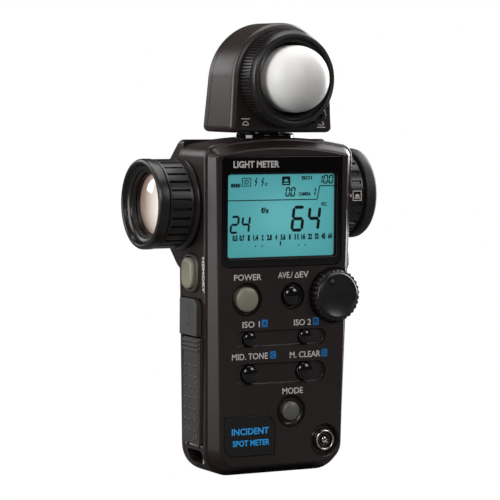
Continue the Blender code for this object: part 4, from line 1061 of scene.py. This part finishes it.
squares, letters = [], []
for letter, x, z in (("A", -7.7, 57.7), ("B", 14.4, 57.7), ("C", -4.0, 45.7), ("D", 18.3, 45.5)):
    squares.append(rounded_box((x - 1.25, PRINT_Y - 0.03, z - 1.4), (x + 1.25, PRINT_Y + 0.05, z + 1.4),
                               "Y", 0.3, steps=3))
    letters.append(lettering(letter, (x, PRINT_Y - 0.04, z), 1.8, 1.45, 0.05, bold=0.01))
placed("blue_squares", joined(*squares), legend_blue, "front_case")
placed("second_letters", joined(*letters), segment_ink, "front_case")

title = lettering("LIGHT METER", (-11.6, window_low.y - 0.02, 117.3), 2.6, 19.5, 0.06, bold=0.03)
placed("window_title", title, legend_white, "display_window")
WORD_Z = 76.2
side_word = lettering("MEMORY", (-side_at(WORD_Z) - 0.06, -7.9, WORD_Z), 1.7, 13.4, 0.16, "left_down",
                      bold=0.03)
for vert in side_word.verts:
    vert.co.x -= SIDE_FLARE * (vert.co.z - WORD_Z)
placed("side_legend", side_word, legend_white, "front_case")


# %% [markdown]
# The keys are turned caps: a dome with a quick curve at its rim, on a shaft that goes through the wall to
# a flange. The power key is beige, the mode key grey, and the others are polished black. Each one is
# named for what it does, and rides on its own body, so it can be pressed.

# %% Keys
KEY_COLOUR = {"power_button": beige_key, "mode_button": grey_key}
KEY_DOME = {"power_button": 0.24, "mode_button": 0.30}


def key_cap(name):
    x, _, z = KEYS[name]
    low, high = corners(name)
    radius, top = KEY_RADIUS[name], low.y
    dome = radius * KEY_DOME.get(name, 0.42)
    rest = [(radius, high.y - 0.6), (radius + 0.6, high.y - 0.6), (radius + 0.6, high.y), (0, high.y)]
    return turned(cap_curve(radius, top, dome, 12) + rest, "Y", (x, 0, z), 64)


for name in KEYS:
    finish(name.replace("button", "key"), key_cap(name), KEY_COLOUR.get(name, gloss_black), name)


# %% [markdown]
# The jog wheel's rim is a ring of rounded teeth. Its face is a shallow dish with a raised rim, and a
# small round bump near the edge takes a fingertip. The teeth come from moving a turned disc's outer
# points in and out by a wave, which one helper does for every knurled part here.

# %% Knurling
def wave_square(turn, high_share):
    """1 on the tooth and 0 in the groove, where turn runs from 0 to 1 over one tooth."""
    return 1.0 if turn < high_share else 0.0


def knurl(bm, axis, centre, count, depth, band, wave, floor_radius):
    """Points beyond a radius, inside a band along the axis, are drawn in where the wave is low."""
    along, out = AXES[axis], OUTWARD[axis]
    side = along.cross(out)
    centre = Vector(centre)
    for vert in bm.verts:
        arm = vert.co - centre
        a = arm.dot(along)
        radial = arm - along * a
        if radial.length < floor_radius or not band[0] <= a <= band[1]:
            continue
        turn = math.atan2(radial.dot(side), radial.dot(out)) / (2 * math.pi) * count
        vert.co -= radial.normalized() * depth * (1 - wave(turn % 1.0))
    return bm


JOG_FRONT, JOG_BACK = jog_low.y, -11.4
JOG_TEETH = 30
jog_centre = (JOG_X, 0, JOG_Z)
R = JOG_RADIUS
dish = ((0, 1.75), (3.0, 1.62), (5.6, 1.28), (7.1, 0.9), (7.5, 0.78), (7.75, 0.62), (8.1, 0.6),
        (8.35, 0.75),
        (8.6, 1.1), (8.75, 1.35), (R - 0.75, 1.45), (R - 0.2, 1.7), (R, 2.1))
jog_profile = [(radius, JOG_FRONT + back) for radius, back in dish]
jog_profile += [(R, JOG_BACK - 0.8), (R - 0.35, JOG_BACK - 0.2), (R - 0.9, JOG_BACK), (2.0, JOG_BACK),
                (2.0, -8.6),
                (0, -8.6)]
wheel = turned(jog_profile, "Y", jog_centre, JOG_TEETH * 10)
knurl(wheel, "Y", jog_centre, JOG_TEETH, 0.75, (JOG_FRONT + 1.5, JOG_BACK),
      lambda t: math.sin(math.pi * t) ** 0.7, R - 0.5)
bump_centre = (JOG_X - 2.6, 0, JOG_Z + 5.2)
bump_top = corners("jog_wheel")[0].y
BUMP_RADIUS, BUMP_FOOT = 1.35, JOG_FRONT + 2.6
bump = cap_curve(BUMP_RADIUS, bump_top, 1.5, 9) + [(BUMP_RADIUS, BUMP_FOOT), (0, BUMP_FOOT)]
bump = turned(bump, "Y", bump_centre, 40)
finish("jog_dial", carved(wheel, added=[bump]), satin_black, "jog_wheel")


# %% [markdown]
# The sync terminal is a nickel tube with a rolled rim, a black insulator deep inside and a nickel pin
# with a hole in its tip. It sits in a dished recess.

# %% Sync terminal
r = SYNC_RADIUS
centre = (sync.x, 0, sync.z)
tube_profile = rounded([(r - 0.75, -13.2), (r - 0.4, -13.4), (r, -13.2), (r, -4.0), (r - 0.75, -4.0)],
                       0.18, 4)
finish("terminal_tube", turned(tube_profile, "Y", centre, 72), nickel, "sync_terminal_shell")
core_profile = rounded([(1.5, -12.1), (1.9, -12.4), (r - 1.2, -12.4), (r - 0.95, -12.2),
                        (r - 0.95, -4.2), (1.5, -4.2)], 0.1, 3)
finish("terminal_core", turned(core_profile, "Y", centre, 64), satin_black, "sync_terminal_insulator")
pin_profile = rounded([(0.45, -12.7), (0.8, -12.8), (1.2, -12.6), (1.2, -3.6)], 0.1, 3)
pin_profile += [(0, -3.6), (0, -11.0), (0.45, -11.0)]
finish("terminal_pin", turned(pin_profile, "Y", centre, 40), nickel, "sync_terminal_pin")


# %% [markdown]
# The small plate is a glossy black sheet sunk flush in the face, with two large and two tight corners. It
# carries a plain graphic: two lines of generic words in bright blue.

# %% Plate
plate = cornered(tuple(plate_low), tuple(plate_high), "Y", plate_radii, 8)
bevel(plate, facing(plate, (0, -1, 0)).edges, 0.12, 2)
finish("corner_plate", plate, gloss_black, "name_plate")
PLATE_Y = plate_low.y - 0.03
graphic = [lettering("INCIDENT", (-13.4, PLATE_Y, 17.3), 2.5, 15.8, 0.07, bold=0.025),
           lettering("SPOT METER", (-13.0, PLATE_Y, 12.9), 2.3, 15.8, 0.07, bold=0.025)]
placed("plate_graphic", joined(*graphic), plate_blue, "name_plate")


# %% [markdown]
# The left side carries the memory key in its raised olive collar, the rubber cap over the data socket and
# the battery door. The key is a pillow: an oval whose end is drawn in and pushed out in a few small
# steps.

# %% Memory key
side = -side_at(memory.z)
memory_low, memory_high = corners("memory_button")
collar = oval(memory.y - 0.4, memory.z, 6.3, 7.2, side + 2.0, side - 0.5)
pillow(collar, (-1, 0, 0), [(0.12, 0.28), (0.25, 0.2), (0.4, 0.1)])
collar = carved(collar, [oval(memory.y, memory.z, 4.95, 6.25, -38, -26)])
soften(finish("memory_collar", collar, olive_bezel, "memory_button_bezel"), 0.12)
cap = oval(memory.y, memory.z, 4.6, 5.9, memory_high.x, memory_low.x + 1.3)
pillow(cap, (-1, 0, 0), [(0.1, 0.45), (0.28, 0.35), (0.5, 0.25), (0.8, 0.15), (1.0, 0.08)])
finish("memory_key", cap, beige_key, "memory_button")


# %% [markdown]
# The cap is a soft grey rubber block with one large rounded corner and a plain plug picture moulded into
# it.

# %% Socket cap and socket
flap = cornered(tuple(cap_low), tuple(cap_high), "X", lambda p: 3.0 if p.y < 0 and p.z > 60 else 0.5, 8)
bevel(flap, facing(flap, (-1, 0, 0)).edges, 0.4, 4)
MARK_X = cap_low.x - 0.02
mark = [box((MARK_X - 0.08, 2.6, 57.4), (MARK_X + 0.2, 5.0, 60.2)),
        box((MARK_X - 0.08, 3.55, 60.3), (MARK_X + 0.2, 4.05, 62.6)),
        box((MARK_X - 0.08, 3.0, 56.2), (MARK_X + 0.2, 3.4, 57.3)),
        box((MARK_X - 0.08, 4.2, 56.2), (MARK_X + 0.2, 4.6, 57.3))]
finish("socket_flap", joined(flap, *mark), cap_rubber, "usb_cap")
shell_low, shell_high = corners("usb_socket")
socket = box((shell_low.x, shell_low.y, shell_low.z), (shell_low.x + 0.8, shell_high.y, shell_high.z))
body = rounded_box((shell_low.x + 0.3, 1.3, 55.5), (shell_high.x, 8.7, 62.0), "X", 0.7, steps=4)
mouth = rounded_box((shell_low.x - 1, 2.0, 56.2), (shell_high.x - 1.5, 8.0, 61.3), "X", 0.5, steps=4)
socket = carved(socket, [mouth], [body])
soften(finish("data_socket", socket, steel, "usb_socket"), 0.08)


# %% [markdown]
# The door is a long textured panel. Three ridges at its top give the thumb a hold, a raised field below
# them carries seven rows of three round studs, and two knuckles wrap the hinge pin along its lower edge.

# %% Battery door
outer, inner = door_low.x + 0.7, door_high.x
door_bottom, door_top = DOOR_FOOT, door_high.z
panel = rounded_box((outer, door_low.y, door_bottom), (inner, door_high.y, door_top), "X", 0.5, 0.2, 4, 2)
field = rounded_box((outer - 0.25, door_low.y + 0.9, door_bottom + 1.4),
                    (outer + 0.5, door_high.y - 0.7, door_top - 6.2), "X", 0.4, 0.12, 4, 2)
ridges = []
for k in range(3):
    z = door_top - 1.1 - 1.7 * k
    ridges.append(rounded_box((outer - 0.7, door_low.y + 0.4, z - 0.5),
                              (outer + 0.5, door_high.y - 0.4, z + 0.5), "Y", 0.36, steps=4))
studs = []
STUD_ROWS, STUD_COLUMNS, STUD_RADIUS = 7, 3, 0.78
STUD_Y, STUD_Z, COLUMN_PITCH, ROW_PITCH = -1.3, 16.9, 4.1, 4.08
stud = cap_curve(STUD_RADIUS, outer - 0.62, 0.6, 5) + [(STUD_RADIUS, outer + 0.4), (0, outer + 0.4)]
for row in range(STUD_ROWS):
    for column in range(STUD_COLUMNS):
        studs.append(turned(stud, "X", (0, STUD_Y + COLUMN_PITCH * column, STUD_Z + ROW_PITCH * row), 20))
hinge = middle("battery_door_pin")
knuckles = []
for low, high in ((-3.4, -1.2), (5.8, 8.0)):
    knuckles.append(turned(rounded([(0.65, low), (1.0, low), (1.0, high), (0.65, high)], 0.1, 2), "Y",
                           (hinge.x, 0, hinge.z), 32))
door = carved(panel, added=[field] + ridges + knuckles + studs)
finish("cell_door", door, door_grey, "battery_door")

pin_profile = rounded(rod(0.45, -5.3, 9.0), 0.1, 3)
finish("door_pin", turned(pin_profile, "Y", (hinge.x, 0, hinge.z), 32), steel, "battery_door_pin")
bar_low, bar_high = corners("strap_bar")
bar_profile = rounded(rod(0.9, bar_low.z, bar_high.z), 0.1, 3)
finish("strap_post", turned(bar_profile, "Z", (bar.x, bar.y, 0), 40), steel, "strap_bar")
measure_low, measure_high = corners("measuring_button")
press = oval(measure.y, measure.z, 5.0, 5.8, measure_low.x, measure_high.x - 2.6)
pillow(press, (1, 0, 0), [(0.2, 0.9), (0.45, 0.8), (0.7, 0.5), (0.9, 0.25), (1.1, 0.15)])
finish("measuring_key", press, satin_black, "measuring_button")


# %% [markdown]
# The spot finder's objective sticks out of the left side. From the body outwards it is a barrel with a
# flange, a grip sleeve with long flat pads, and a front ring whose rounded rim runs into a stepped bore.
# The lens sits in that bore. Its front bulges outwards, and its material carries a warm painted reflection
# and a painted glint.

# %% Objective
lens_axis = (0, OBJECTIVE.y, OBJECTIVE.z)
barrel_profile = [
    (11.4, -26.0), (13.5, -26.0), (13.5, -32.2), (17.2, -32.2), (17.2, -32.8), (16.3, -33.9),
    (15.9, -34.3), (14.3, -34.3), (14.3, -44.5), (11.4, -44.5),
]
finish("barrel", turned(rounded(barrel_profile, 0.25, 3), "X", lens_axis, 128), satin_black,
       "objective_barrel")

SLEEVE_PADS, PAD_SHARE = 30, 0.76
sleeve_profile = [
    (14.6, -44.5), (16.5, -44.5), (16.75, -44.35), (16.8, -44.1), (16.8, -43.62), (16.8, -43.5),
    (16.8, -35.9), (16.8, -35.78), (16.8, -35.0), (16.7, -34.75), (16.5, -34.6), (14.6, -34.6),
]
sleeve = turned(sleeve_profile, "X", lens_axis, SLEEVE_PADS * 18)
knurl(sleeve, "X", lens_axis, SLEEVE_PADS, 1.3, (-43.55, -35.85), lambda t: wave_square(t, PAD_SHARE),
      16.0)
finish("grip_sleeve", sleeve, satin_black, "objective_grip_sleeve")

front_ring_profile = [
    (12.0, -44.8), (16.7, -44.8), (16.95, -44.95), (17.0, -45.2), (17.0, -47.7), (16.9, -48.3),
    (16.6, -48.75), (16.1, -48.97),
    (15.6, -49.0), (15.3, -48.9), (15.05, -48.6), (14.7, -47.9), (14.3, -47.3), (13.7, -46.9),
    (13.1, -46.75), (12.9, -46.5), (12.85, -46.2), (12.0, -46.1),
]
front_ring = turned(front_ring_profile, "X", lens_axis, 144)
finish("front_ring", front_ring, satin_black, "objective_front_ring")

LENS_EDGE, LENS_APEX, LENS_BACK = -43.3, -45.9, -40.0
LENS_RADIUS, LENS_BULGE, BULGE_ANGLE = 11.25, LENS_EDGE - LENS_APEX, 1.0
lens_profile = []
for k in range(11):
    t = BULGE_ANGLE * k / 10
    rise = (math.cos(t) - math.cos(BULGE_ANGLE)) / (1 - math.cos(BULGE_ANGLE))
    lens_profile.append((LENS_RADIUS * math.sin(t) / math.sin(BULGE_ANGLE),
                         LENS_EDGE - LENS_BULGE * rise))
lens_profile += [(LENS_RADIUS, -41.8), (10.9, -41.5), (6.0, LENS_BACK - 0.6), (0, LENS_BACK)]
finish("front_lens", turned(lens_profile, "X", lens_axis, 96), coated, "objective_lens")


# %% [markdown]
# The eyepiece end on the right mirrors it with a plain tube, a ribbed selector dial, a rounded rubber
# eyecup and a small lens. A little picture on the dial's front shows which setting is in use.

# %% Eyepiece
eye_axis = (0, EYEPIECE.y, EYEPIECE.z)
tube_profile = rounded([(9.0, 26.5), (13.1, 26.5), (13.1, 43.2), (12.4, 43.6), (9.6, 43.6), (9.0, 43.0)],
                       0.2, 3)
finish("eye_tube", turned(tube_profile, "X", eye_axis, 112), satin_black, "eyepiece_tube")
DIAL_PADS = 24
dial_profile = [
    (13.5, 32.1), (15.7, 32.1), (15.95, 32.25), (16.0, 32.5), (16.0, 32.9), (16.0, 33.05), (16.0, 37.25),
    (16.0, 37.4), (16.0, 37.8), (15.95, 38.05), (15.7, 38.2), (13.5, 38.2),
]
dial = turned(dial_profile, "X", eye_axis, DIAL_PADS * 12)
knurl(dial, "X", eye_axis, DIAL_PADS, 0.6, (32.95, 37.35), lambda t: wave_square(t, 0.72), 15.2)
finish("dial_ring", dial, satin_black, "selector_dial")
cup_profile = [
    (13.5, 39.0), (16.2, 39.0), (16.9, 39.2), (17.3, 39.7), (17.4, 40.4), (17.4, 41.7), (17.2, 42.7),
    (16.7, 43.5), (15.9, 43.95), (15.1, 44.0), (14.3, 43.7), (13.8, 43.2), (13.5, 42.4),
]
finish("eye_cup", turned(cup_profile, "X", eye_axis, 128), rubber_black, "eyecup")
sign_y = EYEPIECE.y - 16.0
sign = [box((33.2, sign_y - 0.06, z), (37.1, sign_y + 0.2, z + 0.3)) for z in (102.7, 106.3)]
sign += [box((x, sign_y - 0.06, 103.0), (x + 0.3, sign_y + 0.2, 106.3)) for x in (33.2, 36.8)]
sign.append(box((34.0, sign_y - 0.06, 103.6), (36.3, sign_y + 0.2, 104.0)))
sign.append(carved(tube(1.0, sign_y - 0.06, sign_y + 0.2, "Y", (35.15, 0, 104.3), 32),
                   [box((33, -20, 102), (37, 0, 104.3))]))
placed("dial_sign", joined(*sign), legend_white, "selector_dial")
index_mark = tube(0.55, side_at(104.7) - 0.5, side_at(104.7) + 0.02, "X", (0, -9.3, 104.7), 24)
placed("index_mark", index_mark, legend_white, "front_case")

eye_profile = [(0, 42.0)] + [(8.6 * k / 8, 42.0 - 1.1 * (k / 8) ** 2)
                             for k in range(1, 9)] + [(8.6, 39.6)]
eye_profile += [(8.6 * k / 8, 38.7 + 0.9 * (k / 8) ** 2) for k in range(7, 0, -1)] + [(0, 38.7)]
finish("eye_lens", turned(eye_profile, "X", eye_axis, 72), coated, "eyepiece_lens")


# %% [markdown]
# The head is a tombstone-shaped housing in two shells that meet along a line which leans forward. Its
# sides lean in a little, its top is a half circle, and its whole front edge is rolled over. Round the
# dome the front swells into a low cone that the ring turns on.

# %% Head shells
head_low, head_high = corners("head_front_housing")
HEAD_FRONT, HEAD_ROUND, HEAD_ROUND_Z, HEAD_FOOT = -12.0, 20.0, 150.0, 2.4
HEAD_WALL = 2.2
DOME_Z = middle("head_sensor").z


def seam_at(z):
    """Where the two shells meet; the line leans forward as it rises."""
    return 7.6 - 0.10 * (z - head_low.z)


def back_at(z):
    return 12.4 - 0.107 * (z - head_low.z)


def head_block(front, back, inset=0.0):
    """The head's outline between two distances along Y, each given as a function of height."""
    bm = box((-1, 0, head_low.z + inset), (1, 1, head_high.z - inset))
    for vert in bm.verts:
        vert.co.x *= (HEAD_ROUND if vert.co.z > HEAD_ROUND_Z else head_high.x) - inset
    upright = [e for e in bm.edges if runs_along(e, "Y")]
    bevel(bm, [e for e in upright if e.verts[0].co.z > HEAD_ROUND_Z], HEAD_ROUND - inset - 0.01, 24)
    bevel(bm, [e for e in bm.edges if runs_along(e, "Y") and e.verts[0].co.z < head_low.z + inset + 0.1],
          HEAD_FOOT, 5)
    for vert in bm.verts:
        vert.co.y = front(vert.co.z) if vert.co.y < 0.5 else back(vert.co.z)
    return bm


def arc_centre(point):
    """The middle of the arc that a point of the head's outline lies on."""
    if point.z > HEAD_ROUND_Z - 5:
        return Vector((0, point.y, HEAD_ROUND_Z))
    return Vector((math.copysign(head_high.x - HEAD_FOOT, point.x), point.y, head_low.z + HEAD_FOOT))


def rolled(bm, way, radius, steps=8):
    """Rolls over the edge of the end face that looks along Y, in quarter-circle steps."""
    face = facing(bm, (0, way, 0))
    turns = [math.radians(90 * k / steps) for k in range(steps + 1)]
    for start, end in zip(turns, turns[1:]):
        face = bmesh.ops.extrude_discrete_faces(bm, faces=[face])["faces"][0]
        for vert in face.verts:
            inward = (arc_centre(vert.co) - vert.co).normalized()
            vert.co += inward * radius * (math.cos(start) - math.cos(end))
            vert.co.y += way * radius * (math.sin(end) - math.sin(start))
    return bm


HEAD_ROLL = 2.3
front_head = rolled(head_block(lambda z: HEAD_FRONT + HEAD_ROLL, lambda z: seam_at(z) - 0.15), -1,
                    HEAD_ROLL)
cone = [(0, -10.5), (20.2, -10.5), (20.05, -11.1), (19.8, -11.5), (19.4, -11.75), (18.9, -11.9),
        (0, -11.9)]
cone = turned(cone[::-1], "Y", (0, 0, DOME_Z), 144)
hollow = head_block(lambda z: HEAD_FRONT + HEAD_WALL, lambda z: seam_at(z) + 1.0, HEAD_WALL)
cutters = [hollow, tube(13.7, -16, -8, "Y", (0, 0, DOME_Z), 96),
           tube(6.2, 127, 133, "Z", (0, SWIVEL.y, 0), 48)]
head_front = finish("head_front_shell", carved(front_head, cutters, [cone]), case_skin,
                    "head_front_housing")
soften(head_front, 0.12)

back_head = rolled(head_block(lambda z: seam_at(z) + 0.15, lambda z: back_at(z) - HEAD_ROLL), 1,
                   HEAD_ROLL)
hollow = head_block(lambda z: seam_at(z) - 1.0, lambda z: back_at(z) - 2.0, HEAD_WALL)
head_back = carved(back_head, [hollow, tube(6.2, 127, 133, "Z", (0, SWIVEL.y, 0), 48)])
head_back = finish("head_back_shell", head_back, case_skin, "head_back_cover")
soften(head_back, 0.12)


# %% [markdown]
# The head turns on a short neck: a hollow stem inside a low collar with a rounded rim, both glossy black.

# %% Neck
neck = (0, SWIVEL.y, 0)
collar_profile = rounded([(6.3, 126.5), (10.9, 126.5), (10.9, 128.1), (10.4, 128.65), (6.3, 128.65)],
                         0.25, 4)
finish("neck_collar", turned(collar_profile, "Z", neck, 112), gloss_black, "swivel_collar")
stem_profile = rounded([(3.8, 118.0), (5.8, 118.0), (5.8, 131.5), (7.5, 131.5), (7.5, 132.9),
                        (3.8, 132.9)], 0.15, 3)
finish("neck_stem", turned(stem_profile, "Z", neck, 64), gloss_black, "swivel_stem")


# %% [markdown]
# The ring round the dome has fine teeth on a slight cone. They stop short of its front, where a smooth rim
# curves down to the bore. A finger tab with a round dimple stands out at its lower right.

# %% Retract ring
ring_centre = (0, 0, DOME_Z)
RING_TEETH = 92
ring_profile = [
    (13.6, -12.2), (18.2, -12.2), (18.5, -12.3), (18.6, -12.5), (18.6, -12.6), (18.0, -18.4),
    (17.9, -18.5),
    (17.65, -18.7), (17.45, -18.9), (17.4, -19.2), (17.35, -19.9), (17.15, -20.5), (16.8, -20.85),
    (16.4, -21.0), (16.0, -20.95),
    (15.75, -20.75), (15.6, -20.4), (15.35, -19.6), (15.2, -19.4), (14.6, -19.35), (14.4, -19.5),
    (14.2, -19.6), (14.0, -19.5), (13.9, -19.2), (13.6, -18.0),
]
ring = turned(ring_profile, "Y", ring_centre, RING_TEETH * 6)
knurl(ring, "Y", ring_centre, RING_TEETH, 0.75, (-18.45, -12.25), lambda t: wave_square(t, 0.55), 17.95)
tab = cornered((15.2, -17.6, -3.2), (21.0, -14.0, 3.2), "Y", lambda p: 2.4 if p.x > 18 else 0.4, 6)
bevel(tab, facing(tab, (0, -1, 0)).edges, 0.35, 3)
tab = carved(tab, [tube(1.25, -19, -16.3, "Y", (18.5, 0, 0), 32)])
tab.transform(Matrix.Translation((0, 0, DOME_Z)) @ Matrix.Rotation(math.radians(48), 4, "Y"))
finish("dome_ring", joined(ring, tab), satin_black, "retract_ring")


# %% [markdown]
# The dome is half a sphere of milky plastic with a short skirt, thin enough for light to pass. Turned as
# a shell with a wall of little over a millimetre, it takes its soft look from scattering inside that
# wall.

# %% Dome
DOME_RADIUS, DOME_BASE, DOME_WALL = 12.4, -21.35, 1.2
DOME_INNER, SKIRT_END = DOME_RADIUS - DOME_WALL, -15.0
outside = cap_curve(DOME_RADIUS, DOME_BASE - DOME_RADIUS, DOME_RADIUS, 20)
inside = cap_curve(DOME_INNER, DOME_BASE - DOME_INNER, DOME_INNER, 20)[::-1]
skirt = [(DOME_RADIUS, SKIRT_END), (DOME_INNER, SKIRT_END)]
finish("dome", turned(outside + skirt + inside, "Y", ring_centre, 112), milky, "diffuser_dome")
carrier_profile = rounded([(9.0, -14.7), (13.1, -14.7), (13.1, -12.9), (9.0, -12.9)], 0.15, 3)
finish("dome_holder", turned(carrier_profile, "Y", ring_centre, 72), satin_black, "dome_carrier")


# %% [markdown]
# Two small pictures on the head show the dome drawn in and the dome out. Each is two thin bars and a half
# ring.

# %% Dome pictures
def half_ring(x, z, radius, thick, y):
    bm = turned([(radius - thick, -0.04), (radius, -0.04), (radius, 0.04), (radius - thick, 0.04)], "Y",
                (x, y, z), 40)
    return carved(bm, [box((x - 5, y - 1, z - 5), (x + 5, y + 1, z))])


HEAD_PRINT = HEAD_FRONT - 0.02
signs = []
SIGN_Z = 132.0
for x, line_z in ((-16.0, SIGN_Z + 2.2), (16.4, SIGN_Z - 1.0)):
    signs.append(half_ring(x, SIGN_Z, 1.35, 0.34, HEAD_PRINT))
    for half, z in ((1.4, SIGN_Z - 0.1), (1.9, line_z)):
        signs.append(bar_shape((x - half, z), (x + half, z), 0.36, HEAD_PRINT, 0.08))
placed("head_signs", joined(*signs), legend_white, "head_front_housing")


# %% [markdown]
# What is left is inside: boards, springs, the cell, prisms and sensors. They show only when the battery
# door or the socket cap is open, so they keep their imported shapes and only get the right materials.

# %% Inner solids
INNER = {
    "keypad_membrane": cap_rubber, "key_board": board_green, "main_board": board_green,
    "head_sensor_board": board_green,
    "lcd_frame": grey_key, "lcd_backlight": clear_plastic, "jog_encoder": steel, "memory_switch": steel,
    "measuring_switch": steel, "spot_sensor": steel, "head_sensor": steel, "swivel_retainer": steel,
    "finder_prism": coated, "battery_cell": cell_yellow, "battery_contact_lower": nickel,
    "battery_contact_upper": nickel,
}
for name, material in INNER.items():
    slots = frame["nodes"][name].material_slots
    if not slots:
        frame["nodes"][name].data.materials.append(material)
    for material_slot in slots:
        material_slot.material = material
print(len(INNER), "inner solids painted")
